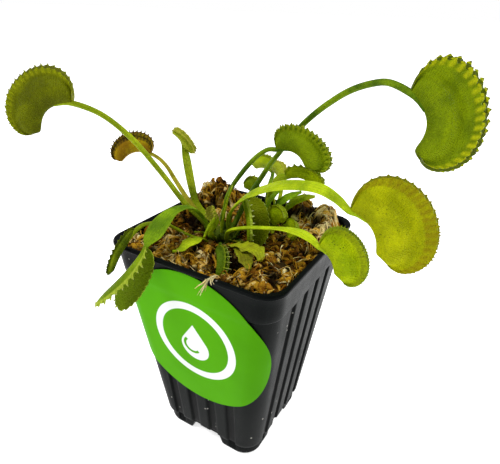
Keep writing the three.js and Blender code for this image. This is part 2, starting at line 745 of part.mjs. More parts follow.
// The outline is an oval arc from the hinge round both ears and the crest to the tip.
function marginPoint(frame, trap, share) {
  const { chord, height } = frame;
  const semi = (chord * (1 + trap.ears[0] + trap.ears[1])) / 2;
  const middle = (chord * (1 + trap.ears[1] - trap.ears[0])) / 2;
  const atHinge = Math.sqrt(Math.max(1 - (middle / semi) ** 2, 0));
  const atTip = Math.sqrt(Math.max(1 - ((chord - middle) / semi) ** 2, 0));
  const from = Math.PI + Math.asin(atHinge);
  const to = -Math.asin(atTip);
  const angle = lerp(from, to, share);
  const sink = lerp(atHinge, atTip, share);
  const tall = height / (1 + sink);
  return frame.hinge.clone()
    .addScaledVector(frame.along, middle + semi * Math.cos(angle))
    .addScaledVector(frame.up, tall * (sink + Math.sin(angle)));
}

function trapGeometry(frame, trap) {
  const { stations } = trap;
  const rich = stations > LOBE.richStations;
  const rings = [[frame.hinge.clone()]];
  for (let k = 1; k < stations; k += 1) {
    const share = k / stations;
    const ease = share * share * (3 - 2 * share);
    const root = midribPoint(frame, trap, ease);
    const reach = marginPoint(frame, trap, share).sub(root);
    const length = reach.length();
    reach.normalize();
    const full = Math.min(length / frame.height, 1);
    const thin = Math.min(1, Math.sqrt(length / LOBE.thinBelow));
    const section = trap.open
      ? openSection(trap.open, length)
      : shutSection(Math.max(trap.bulge * full ** 0.7, LOBE.rib), rich, trap.ridge ?? LOBE.ridge);
    const place = ([out, across], side, tooth) => root.clone()
      .addScaledVector(reach, length * out + tooth)
      .addScaledVector(frame.across, side * across * thin);
    const tip = section.outer.length - 1;
    const half = (side) => {
      const tooth = (k + (side > 0 ? 0 : 1)) % 2 ? trap.tooth * full : 0;
      const outer = section.outer.map((point, i) => place(point, side, i === tip ? tooth : 0));
      const inner = section.inner.map((point, i) => place(point, side, i === 0 ? tooth : 0));
      return { outer, inner };
    };
    const [right, left] = [half(1), half(-1)];
    rings.push([
      ...right.outer, ...right.inner, place([section.seam, 0], 1, 0),
      ...left.inner.reverse(), ...left.outer.reverse(),
    ]);
  }
  rings.push([vec(trap.tip)]);
  return ringSolid(rings);
}

// ---------------------------------------------------------------- whole leaves

// Sideways direction of a leaf: level and square to the way it grows, then rolled.
function sideways(points, roll) {
  const growth = vec(points[points.length - 1]).sub(vec(points[0]));
  const level = Z_AXIS.clone().cross(growth).normalize();
  return level.applyAxisAngle(growth.normalize(), THREE.MathUtils.degToRad(roll));
}

function rootPoint(leaf) {
  const [azimuth, elevation] = leaf.root.map(THREE.MathUtils.degToRad);
  const reach = CROWN.radius + CROWN.leafGap;
  const direction = new THREE.Vector3(
    Math.cos(azimuth) * Math.cos(elevation),
    Math.sin(azimuth) * Math.cos(elevation),
    Math.sin(elevation),
  );
  return vec(CROWNS[leaf.crown]).addScaledVector(direction, reach);
}

function leafGeometry(leaf) {
  const base = rootPoint(leaf);
  const [, , , width, thickness] = leaf.stalk[0];
  const points = [[base.x, base.y, base.z, width * 0.9, thickness], ...leaf.stalk];
  const side = sideways(points, leaf.roll ?? 0);
  if (!leaf.trap) {
    const blade = stripGeometry(points, 3, side);
    return leaf.prong ? joined([blade, stripGeometry(leaf.prong, 3, side)]) : blade;
  }
  const last = points[points.length - 1];
  const frame = trapFrame(leaf.trap, vec(last));
  [0.12, 0.3].forEach((share, i) => {
    const inside = midribPoint(frame, leaf.trap, share);
    const keep = 1 - 0.25 * (i + 1);
    points.push([inside.x, inside.y, inside.z, last[3] * keep, last[4] * keep]);
  });
  const stalk = stripGeometry(points, points.length > 10 ? 1 : 2, side);
  const pieces = [stalk, trapGeometry(frame, leaf.trap)];
  if (leaf.prong) pieces.push(stripGeometry(leaf.prong, 3, side));
  return joined(pieces);
}

// ---------------------------------------------------------------- assembly

function addPart(group, name, geometry, colour, roughness) {
  const material = new THREE.MeshStandardMaterial({ color: colour, roughness, metalness: 0 });
  const mesh = new THREE.Mesh(geometry, material);
  mesh.name = name;
  group.add(mesh);
}

const plant = new THREE.Group();
addPart(plant, 'pot', potGeometry(), COLOUR.pot, 0.45);
addPart(plant, 'moss_bed', mossGeometry(), COLOUR.moss, 0.95);
addPart(plant, 'label', labelGeometry(), COLOUR.label, 0.4);
Object.entries(CROWNS).forEach(([name, place]) => {
  addPart(plant, name, crownGeometry(place), COLOUR.crown, 0.6);
});
LEAVES.forEach((leaf) => {
  addPart(plant, leaf.name, leafGeometry(leaf), COLOUR[leaf.colour], 0.55);
});

export default plant;
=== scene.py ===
"""Looks of a potted Venus flytrap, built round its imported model.

Every surface is worked out with numpy in millimetres, from the values that the solids have, and
scaled to metres when it becomes a mesh. +Z is up, -Y is the side that the label is on.
"""

import json
import math

import bmesh
import bpy
import numpy as np
from bpy.props import FloatProperty, FloatVectorProperty, IntProperty, PointerProperty
from mathutils import Matrix, Vector


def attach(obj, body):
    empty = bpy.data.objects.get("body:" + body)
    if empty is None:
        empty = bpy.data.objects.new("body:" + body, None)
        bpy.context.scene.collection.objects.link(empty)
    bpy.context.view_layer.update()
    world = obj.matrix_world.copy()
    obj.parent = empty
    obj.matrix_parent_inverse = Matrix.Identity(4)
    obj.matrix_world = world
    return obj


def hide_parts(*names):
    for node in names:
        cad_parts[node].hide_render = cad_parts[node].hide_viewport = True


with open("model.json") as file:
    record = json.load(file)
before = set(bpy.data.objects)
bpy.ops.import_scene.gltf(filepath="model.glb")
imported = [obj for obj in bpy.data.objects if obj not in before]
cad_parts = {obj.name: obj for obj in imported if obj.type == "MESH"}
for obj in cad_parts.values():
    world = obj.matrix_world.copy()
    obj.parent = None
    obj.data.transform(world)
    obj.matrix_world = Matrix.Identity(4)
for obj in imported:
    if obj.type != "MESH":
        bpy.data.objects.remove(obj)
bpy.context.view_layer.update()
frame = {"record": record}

bl_info = {
    "name": "Potted Venus flytrap",
    "version": (1, 0, 0),
    "blender": (4, 5, 0),
    "location": "View3D > Sidebar > Flytrap",
    "description": "Grows a Venus flytrap in its nursery pot round the packed solids",
    "category": "Object",
}

MM = 0.001

# ---------------------------------------------------------------- sizes, in millimetres

POT = {
    "height": 99.0, "rim_half": 38.0, "rim_corner": 9.0, "bottom_corner": 8.0,
    "collar_bottom": 85.4, "collar_top_half": 36.9, "collar_bottom_half": 35.5,
    "body_top_half": 35.0, "body_bottom": 6.0, "body_bottom_half": 25.45,
    "foot_half": 24.4, "foot_height": 5.0, "foot_gap": 14.0, "wall": 1.1, "floor_top": 6.7,
    "lip_drop": 1.7,
}
FLUTE = {"count": 4, "width": 4.6, "slope": 0.7, "depth": 0.9, "pitch": (9.55, 10.9), "top": 84.6}
DRAIN = {"radius": 2.4, "offset": 14.0}
LABEL = {"radius": 33.3, "centre": 63.6, "shift": 1.2, "thickness": 0.25, "corner": 8.6}
# Print on the label, measured from its middle: half width of the ring's band, blur of the edges,
# the ball and the cone that make up the drop, and the arc of the glint in it, whose middle lies
# that far to the left and below.
PRINT = {"ring_half": 1.7, "blur": 0.12, "ball": 6.6, "ball_drop": 3.2, "cone": 4.82,
         "cone_slope": (0.831, 0.556), "glint": (1.3, 2.6), "glint_radius": 3.6,
         "glint_half": 0.62}
# Litter keeps |x| and |y| below the reach, and their sum below the diagonal. It starts inside
# the strewn limits, outside the wells round the crowns, and from the edge outwards it stays
# below the brim. Heap is the height of its clumps.
MOSS = {"bottom": 7.1, "level": 94.4, "gap": 0.35, "reach": 34.3, "diagonal": 62.5, "brim": 97.6,
        "strewn": 34.6, "strewn_diagonal": 63.5, "well": 5.6, "heap": 2.6, "edge": 31,
        "edge_diagonal": 1.84}
# Mounds and hollows of the moss: x, y, rise, spread.
MOUNDS = (
    (-23.5, 20.5, 12.5, 9.5), (-31, 7, 5, 6), (14, 30, 10, 8), (29, 27, 10, 8), (30, 9, 4, 9),
    (25, -18, 2, 10), (-25, -18, 1.5, 8), (-8, 0, -6, 9), (2, 20, -5, 8), (7, -21, -6.5, 8),
    (8, -2, -4, 7), (-22, -4, -3, 6),
)
STRAND_STEPS = 8
# Where the litter is pale and fluffy, heaped up, and ruddy: x, y, spread.
FLUFF, HEAP, RUDDY = (31, 17, 13), (-24, 17, 6), (-23, 20, 10)
# The tuft of threads that hangs over the rim: its middle line from the bed outwards, how many
# threads it has, and how close to the label they come below the rim's top.
TUFT_THREADS, TUFT_FRONT, TUFT_RIM = 16, -38.65, 99.3
TUFT = ((14, -33.5, 97.6), (13.2, -36.5, 99.7), (12.3, -38.7, 99.2), (11.3, -39.0, 97.2),
        (10, -39.1, 94.6), (8.8, -39.2, 91.5))
CROWNS = {"crown_main": (-8, 0, 91), "crown_rear": (2, 20, 92)}
CROWN_RADIUS = 5.4
# Half of a crown's outline from below: share of the radius, height above its middle.
KNOB = ((0.05, -7), (0.72, -6.9), (0.76, -5), (0.74, -3.5), (0.88, -2.2), (0.98, -1), (1, 0.3),
        (0.97, 1.6), (0.87, 2.9), (0.68, 4.1), (0.42, 4.9), (0.12, 5.2))
LEAF_GAP = 0.45
LOBE = {"skin": 0.55, "rib": 0.9, "ridge": 0.87, "ridge_half": 0.75, "lip": 1.1}
# Trigger hairs: their places along the midrib, as shares, and length and half width.
HAIR = {"places": (0.36, 0.5, 0.64), "length": 1.3, "half_width": 0.09}
# Stage, in metres and degrees. The camera was fitted to the pot's edges: turned about Z, tilted
# down and slightly rolled. A lamp's size is an angle for the sun and a width for the area, and
# its power a multiple of the key light's.
FLOOR = {"reach": 20.0, "level": -0.0002}
LAMPS = (("key", "SUN", (-0.35, -0.35, 1.0), math.radians(25), 1.0),
         ("side", "AREA", (0.5, 0.6, 0.35), 0.4, 2.5))
LAMPS_AIM = (0, 0, 0.08)
CAMERA = {"spot": (0.08642, -0.140694, 0.180858), "turn": 29.868, "tilt": 26.705, "roll": 2.076,
          "lens": 31.972, "sensor": 36.0}

# Each leaf. Crown: what it grows from, crown_main if none is named. Root: azimuth and elevation
# in degrees at which it leaves the crown. Skins: tones of the stalk and the trap. Roll: degrees
# that the blade is turned by. Shade: millimetres of darkened stalk. Stalk and prong: x, y, z,
# width and thickness along them. Trap: tip is the far end of the midrib and crest the top of the
# lobes, ears are the outline's swell past hinge and tip, sag the midrib's, bulge is half the
# thickness of a shut trap, open the curl of a gaping lobe in degrees, and ridge and band say
# where on the lobe its ridge and its tinted band lie. Teeth: how many stand on a lobe, their
# length, base width and lean (out is plus), depth of the notches between them, height of the ribs
# behind them, how much shorter one lobe is than the other (as a share; the sign says which) and
# how far the lips flare.
LEAVES = {
    "leaf_far_left": {
        "root": (205, 45), "skins": ("stem_lime", "trap_moss"), "shade": 24,
        "stalk": ((-17, -3.5, 101, 2.7, 2), (-22, -6, 106.5, 3, 2.1), (-32, -10, 120.5, 2.9, 2),
            (-42, -15, 134, 2.8, 2), (-50, -21.5, 143, 2.6, 1.9), (-57, -28, 147, 2.2, 1.8)),
        "trap": {"tip": (-66.5, -37, 134.5), "crest": (-75.8, -38, 153.5), "ears": (0.32, 0.27),
            "sag": 0.28, "bulge": 4, "ridge": 0.82,
            "teeth": (26, 0.9, 0.8, 0.5, 0.25, 0.1, -0.05, 0.5)}},
    "leaf_old_brown": {
        "root": (172, 22), "skins": ("stem_ochre", "trap_brown"), "shade": 22,
        "stalk": ((-20, 0.5, 99.5, 2.4, 1.6), (-29, 3, 105, 2.4, 1.6), (-40, 8, 110.5, 2.2, 1.6),
            (-46, 10.5, 114, 2, 1.5), (-52, 12, 116.5, 1.8, 1.5), (-58, 13, 117.5, 1.6, 1.4)),
        "trap": {"tip": (-71.2, 5.4, 112), "crest": (-68, 10, 126.5), "ears": (0.17, 0.14),
            "sag": 0.2, "bulge": 2.4, "band": 0.62,
            "teeth": (20, 1.7, 0.6, 0.35, 0.2, 0.1, -0.04, 0.3)}},
    "leaf_pale_upright": {
        "root": (146, 40), "skins": ("stem_lime", "trap_pale"),
        "stalk": ((-19, 4.6, 98, 2.6, 1.4), (-27, 6.8, 102.5, 3.4, 1.4), (-29.5, 7, 110, 4.2, 1.4),
            (-33, 8.5, 121, 4.2, 1.4), (-35, 9.5, 126.5, 2.4, 1.3)),
        "trap": {"tip": (-39, 7, 132), "crest": (-34, 8, 132.5), "ears": (0.75, 0.1), "sag": 0.1,
            "bulge": 1.6, "teeth": (8, 0.9, 0.7, 0.3, 0.2, 0, 0, 0.3)}},
    "leaf_centre_top": {
        "root": (105, 68), "skins": ("stem_green", "trap_leaf"),
        "stalk": ((-10.5, 3.5, 100, 3.8, 2), (-10, 4.5, 104, 3.8, 2), (-9.5, 5.5, 109, 3.5, 1.9),
            (-7, 6.5, 115, 3.1, 1.9), (-4, 7.5, 120, 2.9, 1.9), (-0.5, 8.5, 125, 2.9, 1.9),
            (3, 9.5, 129, 2.9, 1.8), (6.5, 10.5, 131.5, 2.6, 1.7), (10, 11, 132, 2, 1.6)),
        "trap": {"tip": (22.5, 13, 125), "crest": (24.5, 19, 137), "ears": (0.3, 0.42),
            "sag": 0.23, "bulge": 3.4, "ridge": 0.8,
            "teeth": (22, 1, 1, 0.45, 0.35, 0.25, 0.05, 0.6)}},
    "leaf_right_top": {
        "root": (70, 38), "skins": ("stem_green", "trap_olive"),
        "stalk": ((-5.5, 8, 99.5, 3, 2.1), (-4.5, 13, 106, 3.2, 2.1), (-2, 18, 113, 3.2, 2.1),
            (1, 21.5, 120, 3.1, 2.1), (5, 24, 127, 2.9, 2), (12, 25.5, 137.5, 2.6, 2),
            (18, 25, 144, 2.4, 2), (25, 23.5, 150, 2.4, 2), (33, 21, 155.5, 2.4, 2),
            (41, 18, 159, 2.5, 2), (48, 14.5, 160.5, 2.6, 2), (56, 11.5, 158.5, 2.2, 1.9)),
        "trap": {"tip": (60.7, 5.2, 140.4), "crest": (78.6, 19.6, 155.7), "ears": (0.55, 0.26),
            "sag": 0.28, "bulge": 4.8, "ridge": 0.62,
            "teeth": (23, 1.1, 1.9, 0.3, 0.55, 0.15, 0.07, 0.9)}},
    "leaf_right": {
        "root": (5, 58), "skins": ("stem_bright", "trap_yellow"), "roll": 24, "shade": 19,
        "stalk": ((-5, 0.4, 100, 3.4, 1.8), (-4, 0, 105, 5, 1.7), (0, -0.3, 111, 5.4, 1.6),
            (5.5, -1, 115.8, 6.4, 1.6), (11, -1.5, 119, 6.8, 1.6), (18.5, -3.5, 123, 6.6, 1.6),
            (28, -5.5, 126, 6, 1.6), (37, -8, 127.4, 5.2, 1.6), (44, -10.5, 126.2, 3.8, 1.7),
            (49.4, -13.3, 124.6, 2.2, 1.8)),
        "trap": {"tip": (60.2, -14.6, 110.6), "crest": (80.4, -3, 116.6), "ears": (0.32, 0.5),
            "sag": 0.22, "bulge": 4.6, "ridge": 0.62, "band": 0.74,
            "teeth": (26, 0.7, 0.9, 0.4, 0.15, 0.08, 0.03, 0.5)}},
    "leaf_front_right": {
        "root": (-38, 34), "skins": ("stem_bright", "trap_fresh"),
        "stalk": ((-2, -4.5, 99, 2.6, 1.6), (8, -8, 105, 3, 1.6), (19, -10.5, 109, 3.2, 1.6),
            (27, -12.5, 111.5, 4.6, 1.5), (33, -14, 112.5, 5.6, 1.5), (38, -16, 112.5, 4.2, 1.5),
            (42, -17.5, 111.5, 2, 1.6)),
        "trap": {"tip": (49, -18, 101.8), "crest": (57.3, -11.6, 109.8), "ears": (0.3, 0.45),
            "sag": 0.15, "bulge": 3, "ridge": 0.76, "band": 0.76,
            "teeth": (38, 1.1, 0.3, 0.7, 0.1, 0.06, 0.04, 0.4)}},
    "leaf_centre_open": {
        "root": (10, 14), "skins": ("stem_green", "trap_red"),
        "stalk": ((0.5, 0.5, 93.5, 2, 1.4), (3.2, -0.1, 92.5, 2, 1.4), (5.6, -0.9, 93, 1.8, 1.4)),
        "trap": {"tip": (-1.7, 6.8, 108), "crest": (10.8, 0.5, 105.6), "ears": (0.06, 0.1),
            "sag": 0.08, "open": 40, "teeth": (14, 1.3, 0.9, -0.35, 0.25, 0, 0, 0)}},
    "leaf_front_open": {
        "root": (238, 44), "skins": ("stem_leaf", "trap_lobed"), "shade": 9,
        "stalk": ((-13, -5, 101, 2.4, 1.5), (-15, -8.5, 106.5, 4.1, 1.9), (-16, -12, 109, 5, 2.1),
            (-17, -17, 110, 5.4, 1.7), (-17.5, -22, 109.5, 6.5, 1.2), (-17, -28, 107.5, 8.6, 1.2),
            (-16, -33.5, 105, 7.6, 1.3), (-15, -38.5, 103.5, 2, 1.4)),
        "trap": {"tip": (-21.4, -48.8, 89.6), "crest": (-11.4, -46.4, 93.6), "ears": (0, 0.47),
            "sag": 0.04, "open": 43, "teeth": (15, 1.3, 1.4, -0.3, 0.35, 0, 0, 0)}},
    "leaf_left_hanging": {
        "root": (222, 12), "skins": ("stem_lime", "trap_dark"),
        "stalk": ((-15.5, -11, 95.5, 2, 1.4), (-20.5, -14.5, 99, 2.2, 1.4),
            (-24, -18.5, 102.5, 2.4, 1.4), (-25, -24.5, 104.5, 2.6, 1.4),
            (-25, -29.5, 105.5, 2.4, 1.4), (-24.5, -34, 105, 1.8, 1.4)),
        "trap": {"tip": (-25.5, -45.5, 93), "crest": (-28, -41, 100), "ears": (0.04, 0.1),
            "sag": 0.04, "bulge": 1.5, "teeth": (12, 0.7, 0.7, 0.3, 0.2, 0, 0, 0.2)}},
    "leaf_front_small": {
        "root": (-62, 18), "skins": ("stem_green", "trap_deep"),
        "stalk": ((-3, -9, 94.8, 1.8, 1.3), (-0.5, -14, 95.6, 1.8, 1.3),
            (1.8, -17.8, 96.6, 1.6, 1.3)),
        "trap": {"tip": (7.5, -25.8, 91.5), "crest": (10, -23.5, 98.5), "ears": (0.1, 0.15),
            "sag": 0.16, "bulge": 3.2, "teeth": (11, 2.2, 0.5, -0.75, 0.1, 0, 0, 0)}},
    "leaf_torn": {
        "root": (-32, 8), "skins": ("stem_torn",),
        "stalk": ((1, -7.5, 95, 2.2, 1.2), (6, -11.5, 98.5, 6, 1.1), (12, -13.5, 100.5, 8, 1),
            (18, -15, 100.5, 5.5, 1), (20.5, -17.5, 99, 1.8, 1)),
        "prong": ((8, -12.5, 99, 4.4, 1), (14.5, -18.5, 99, 6, 1), (18.5, -22.5, 97, 1.8, 1))},
    "leaf_young": {
        "root": (262, 34), "skins": ("stem_bright", "trap_pale"), "shade": 3,
        "stalk": ((-9.5, -7, 97, 2, 1.4), (-7, -5.5, 102.5, 2.2, 1.3),
            (-7.5, -5.5, 105, 1.8, 1.3)),
        "prong": ((-7.5, -5.5, 104.5, 1.8, 1), (-8, -9.5, 101.5, 1.7, 1),
            (-8.5, -12.5, 98, 0.8, 0.8)),
        "trap": {"tip": (-9.5, -5, 108.5), "crest": (-8.5, -8.5, 107.5), "ears": (0.15, 0.1),
            "sag": 0.05, "open": 35, "teeth": (8, 1.6, 0.7, 0.1, 0.5, 0.15, 0, 0)}},
    "leaf_spoon": {
        "root": (262, 4), "skins": ("stem_bright",),
        "stalk": ((-10.5, -10, 95.5, 2, 1.1), (-10, -14.5, 98, 4.5, 1), (-9, -20, 99, 6.5, 1),
            (-8.5, -24, 99.5, 4.5, 1), (-8.5, -27.5, 99, 3, 1), (-9.5, -30.5, 99.5, 1.2, 1))},
    "leaf_round_small": {
        "crown": "crown_rear", "root": (-58, 10), "skins": ("stem_lime", "trap_fresh"),
        "stalk": ((8, 12, 96.5, 1.8, 1.3), (12.5, 8.5, 101, 1.6, 1.3)),
        "trap": {"tip": (17.5, 7, 104), "crest": (14.5, 8.5, 111), "ears": (0.2, 0.25), "sag": 0.1,
            "bulge": 1.4, "teeth": (10, 0.7, 0.6, 0.2, 0.1, 0, 0, 0.2)}},
    "leaf_low_right": {
        "crown": "crown_rear", "root": (-25, 12), "skins": ("stem_lime", "trap_fresh"),
        "stalk": ((12, 14.5, 96.5, 1.8, 1.2), (16, 10.5, 101, 2.6, 1.2), (18, 8, 102.5, 1.6, 1.2)),
        "trap": {"tip": (21, 3.5, 99.5), "crest": (23.5, 6.5, 104), "ears": (0.25, 0.2),
            "sag": 0.1, "bulge": 1.5, "teeth": (8, 0.6, 0.5, 0.2, 0.1, 0, 0, 0.2)}},
    "leaf_back_yellow": {
        "crown": "crown_rear", "root": (110, 48), "skins": ("stem_green", "trap_fresh"),
        "stalk": ((-2, 28, 102, 2, 1.4), (-6.5, 38.5, 105.5, 2, 1.4),
            (-11.5, 50.5, 107, 1.8, 1.4)),
        "trap": {"tip": (-24.5, 55.5, 105), "crest": (-19, 55, 114), "ears": (0.12, 0.12),
            "sag": 0.12, "bulge": 2.4, "teeth": (12, 1, 0.7, 0.2, 0.2, 0, 0, 0.2)}},
    "leaf_back_small": {
        "crown": "crown_rear", "root": (62, 44), "skins": ("stem_lime", "trap_pale"),
        "stalk": ((4.5, 26.5, 102, 1.8, 1.3), (2.5, 33, 106.5, 1.8, 1.3),
            (-0.5, 37, 109, 1.6, 1.3)),
        "trap": {"tip": (-7, 41.5, 111.5), "crest": (-3.5, 42, 117.5), "ears": (0.2, 0.2),
            "sag": 0.1, "bulge": 2, "teeth": (8, 0.8, 0.6, 0.2, 0.15, 0, 0, 0.2)}},
    "leaf_back_dark": {
        "crown": "crown_rear", "root": (170, 42), "skins": ("stem_green", "trap_leaf"),
        "stalk": ((-4, 21, 99.5, 1.8, 1.3), (-7, 23.5, 105.5, 1.8, 1.3)),
        "trap": {"tip": (-12.5, 24.5, 107), "crest": (-10, 26, 113.5), "ears": (0.15, 0.1),
            "sag": 0.1, "bulge": 1.4, "teeth": (8, 0.8, 0.6, 0.2, 0.15, 0, 0, 0.2)}},
    "leaf_broad_right": {
        "crown": "crown_rear", "root": (5, 58), "skins": ("stem_lime", "trap_fresh"), "roll": 60,
        "stalk": ((6.5, 19.5, 103, 2.4, 1.3), (6, 18.2, 110.5, 3.2, 1.2), (7, 17.6, 115, 6, 1.1),
            (9.5, 18, 117.8, 5.6, 1.1), (12, 18.5, 118.8, 3, 1.2)),
        "trap": {"tip": (25.4, 19.8, 116.4), "crest": (19.4, 19.8, 124), "ears": (0.1, 0.12),
            "sag": 0.14, "bulge": 1.9, "teeth": (9, 0.7, 0.9, 0.2, 0.4, 0.1, 0, 0.2)}},
    "leaf_thin_1": {
        "crown": "crown_rear", "root": (-28, 44), "skins": ("stem_leaf",), "roll": 55,
        "stalk": ((8.5, 16.5, 100.5, 2.4, 1.1), (10, 15, 107, 3.8, 1), (14.5, 15.5, 111.5, 3.8, 1),
            (20, 15.5, 115, 1.4, 0.9))},
    "leaf_thin_2": {
        "crown": "crown_rear", "root": (-66, 46), "skins": ("stem_leaf",), "roll": 55,
        "stalk": ((4, 15.5, 99.5, 2.2, 1.1), (5.5, 15, 106.5, 3.3, 1), (8.5, 14.5, 111.5, 3.3, 1),
            (11, 15, 114, 1.4, 0.9))},
    "leaf_thin_3": {
        "crown": "crown_rear", "root": (22, 26), "skins": ("stem_lime",), "roll": 55,
        "stalk": ((10, 21.5, 97.5, 2.2, 1.1), (13, 18.5, 105.5, 3.8, 1), (19, 18, 111, 3.8, 1),
            (25.5, 16.5, 114, 1.4, 0.9))},
}

# Young shoots that stand among the leaves of each crown: x, y, z, width, thickness.
SHOOTS = {
    "crown_main": (
        ((-7.5, -1.5, 95, 1.2, 1), (-6.6, -1.6, 102, 1.1, 0.9), (-6, 0.6, 110, 0.9, 0.8),
         (-4.6, 2.2, 116.5, 0.5, 0.5)),
        ((-3.5, -1, 93.5, 2.2, 1), (2, -2.5, 94.5, 2.6, 0.9), (7, -4.5, 97, 2.2, 0.8),
         (10, -5, 99, 0.8, 0.6)),
        ((-11.5, -3, 94, 1.8, 1), (-13.5, -7, 96.5, 2.2, 0.9), (-15, -10, 97.5, 0.8, 0.6)),
    ),
    "crown_rear": (
        ((5, 16, 94.5, 1.8, 1), (9, 10.5, 97, 2.4, 0.9), (12.5, 6, 99.5, 2.6, 0.8),
         (14.5, 3, 100, 0.8, 0.6)),
        ((-1, 17, 95, 1.8, 1), (-3, 14.5, 101, 2.6, 0.9), (-2, 12.5, 107, 2.2, 0.8),
         (0, 11, 111, 0.8, 0.6)),
        ((1, 23, 96, 1.8, 1), (0.5, 25, 104, 2.4, 0.9), (2.5, 25, 111, 2.8, 0.8),
         (6, 23.5, 115, 0.8, 0.6)),
        ((6, 20, 95.5, 1.8, 1), (10, 24, 102, 2.4, 0.9), (15, 26, 107.5, 2.4, 0.8),
         (20, 25, 110, 0.8, 0.6)),
    ),
}

# Skins, linear: light and shaded skin, margin, inner face (on the stalks and the crown, the
# painted shade by the crown), tooth tips, amount of specks.
TONES = {
    "crown_skin": ((0.13, 0.21, 0.006), (0.04, 0.07, 0.003), (0.2, 0.26, 0.02),
        (0.02, 0.018, 0.004), (0.1, 0.08, 0.02), 0.2),
    "stem_bright": ((0.52, 0.66, 0.01), (0.28, 0.4, 0.006), (0.6, 0.7, 0.04), (0.045, 0.05, 0.008),
        (0.3, 0.4, 0.01), 0.15),
    "stem_lime": ((0.36, 0.44, 0.008), (0.2, 0.28, 0.004), (0.45, 0.52, 0.03), (0.05, 0.07, 0.008),
        (0.3, 0.4, 0.01), 0.1),
    "stem_leaf": ((0.26, 0.44, 0.008), (0.1, 0.2, 0.004), (0.42, 0.56, 0.02), (0.02, 0.035, 0.005),
        (0.1, 0.2, 0.01), 0.2),
    "stem_green": ((0.17, 0.27, 0.004), (0.05, 0.11, 0.002), (0.36, 0.5, 0.02),
        (0.02, 0.035, 0.005), (0.1, 0.2, 0.01), 0.1),
    "stem_ochre": ((0.38, 0.34, 0.02), (0.22, 0.2, 0.01), (0.4, 0.34, 0.03), (0.06, 0.05, 0.01),
        (0.3, 0.2, 0.01), 0.2),
    "trap_olive": ((0.21, 0.29, 0.001), (0.12, 0.18, 0.001), (0.44, 0.46, 0.004),
        (0.07, 0.095, 0.004), (0.07, 0.06, 0.008), 0.25),
    "trap_yellow": ((0.46, 0.49, 0.002), (0.3, 0.33, 0.001), (0.25, 0.21, 0.002),
        (0.17, 0.18, 0.01), (0.1, 0.07, 0.01), 0.7),
    "trap_moss": ((0.155, 0.18, 0.001), (0.09, 0.105, 0.001), (0.3, 0.33, 0.003),
        (0.14, 0.15, 0.01), (0.05, 0.03, 0.01), 0.3),
    "trap_leaf": ((0.22, 0.31, 0.002), (0.12, 0.185, 0.001), (0.28, 0.33, 0.006),
        (0.14, 0.18, 0.01), (0.05, 0.035, 0.01), 0.3),
    "trap_fresh": ((0.46, 0.57, 0.002), (0.26, 0.36, 0.001), (0.2, 0.24, 0.003),
        (0.16, 0.22, 0.01), (0.04, 0.035, 0.01), 1),
    "trap_lobed": ((0.24, 0.36, 0.006), (0.13, 0.21, 0.003), (0.4, 0.5, 0.04), (0.12, 0.18, 0.002),
        (0.36, 0.4, 0.08), 0.3),
    "trap_red": ((0.3, 0.42, 0.006), (0.17, 0.26, 0.003), (0.42, 0.52, 0.06), (0.18, 0.215, 0.002),
        (0.74, 0.78, 0.38), 0.2),
    "trap_deep": ((0.1, 0.17, 0.003), (0.04, 0.08, 0.002), (0.24, 0.32, 0.01), (0.05, 0.08, 0.002),
        (0.6, 0.62, 0.22), 0.2),
    "stem_torn": ((0.36, 0.42, 0.008), (0.15, 0.14, 0.008), (0.46, 0.48, 0.05), (0.06, 0.06, 0.01),
        (0.3, 0.2, 0.01), 0.7),
    "trap_dark": ((0.2, 0.27, 0.003), (0.07, 0.11, 0.002), (0.1, 0.12, 0.004), (0.05, 0.08, 0.004),
        (0.03, 0.03, 0.01), 0.4),
    "trap_pale": ((0.5, 0.58, 0.03), (0.3, 0.36, 0.012), (0.45, 0.42, 0.05), (0.3, 0.28, 0.03),
        (0.22, 0.16, 0.04), 0.3),
    "trap_brown": ((0.42, 0.3, 0.003), (0.24, 0.13, 0.002), (0.012, 0.009, 0.003),
        (0.1, 0.05, 0.01), (0.008, 0.006, 0.004), 0.8),
}


# ---------------------------------------------------------------- numbers and curves


def lerp(low, high, share):
    """low + (high - low) share."""
    return low + (high - low) * share


def smooth(share):
    """3t^2 - 2t^3, with t held between 0 and 1."""
    t = np.clip(share, 0, 1)
    return t * t * (3 - 2 * t)


def unit(vectors):
    """Each vector divided by its length."""
    return vectors / np.maximum(np.linalg.norm(vectors, axis=-1, keepdims=True), 1e-9)


def bell(x, spread):
    """exp(-(x / spread)^2)."""
    return np.exp(-((x / spread) ** 2))


def around(x, y, middle_x, middle_y, spread):
    """bell() of the distance from a middle."""
    return bell(np.hypot(x - middle_x, y - middle_y), spread)


def joined(*parts):
    """Arrays of coordinates, spread to one shape and put together as points."""
    return np.stack(np.broadcast_arrays(*parts), axis=-1)


def noise(points, cell, seed):
    """Random numbers from 0 to 1 on a cubic lattice, blended between its corners by smooth()."""
    size = 32
    table = np.random.default_rng(seed).random((size, size, size))
    place = np.asarray(points, float) / cell
    corner = np.floor(place).astype(int)
    share = smooth(place - corner)
    total = 0.0
    for step in np.ndindex(2, 2, 2):
        i, j, k = np.moveaxis((corner + step) % size, -1, 0)
        total = total + table[i, j, k] * np.prod(np.where(step, share, 1 - share), axis=-1)
    return total


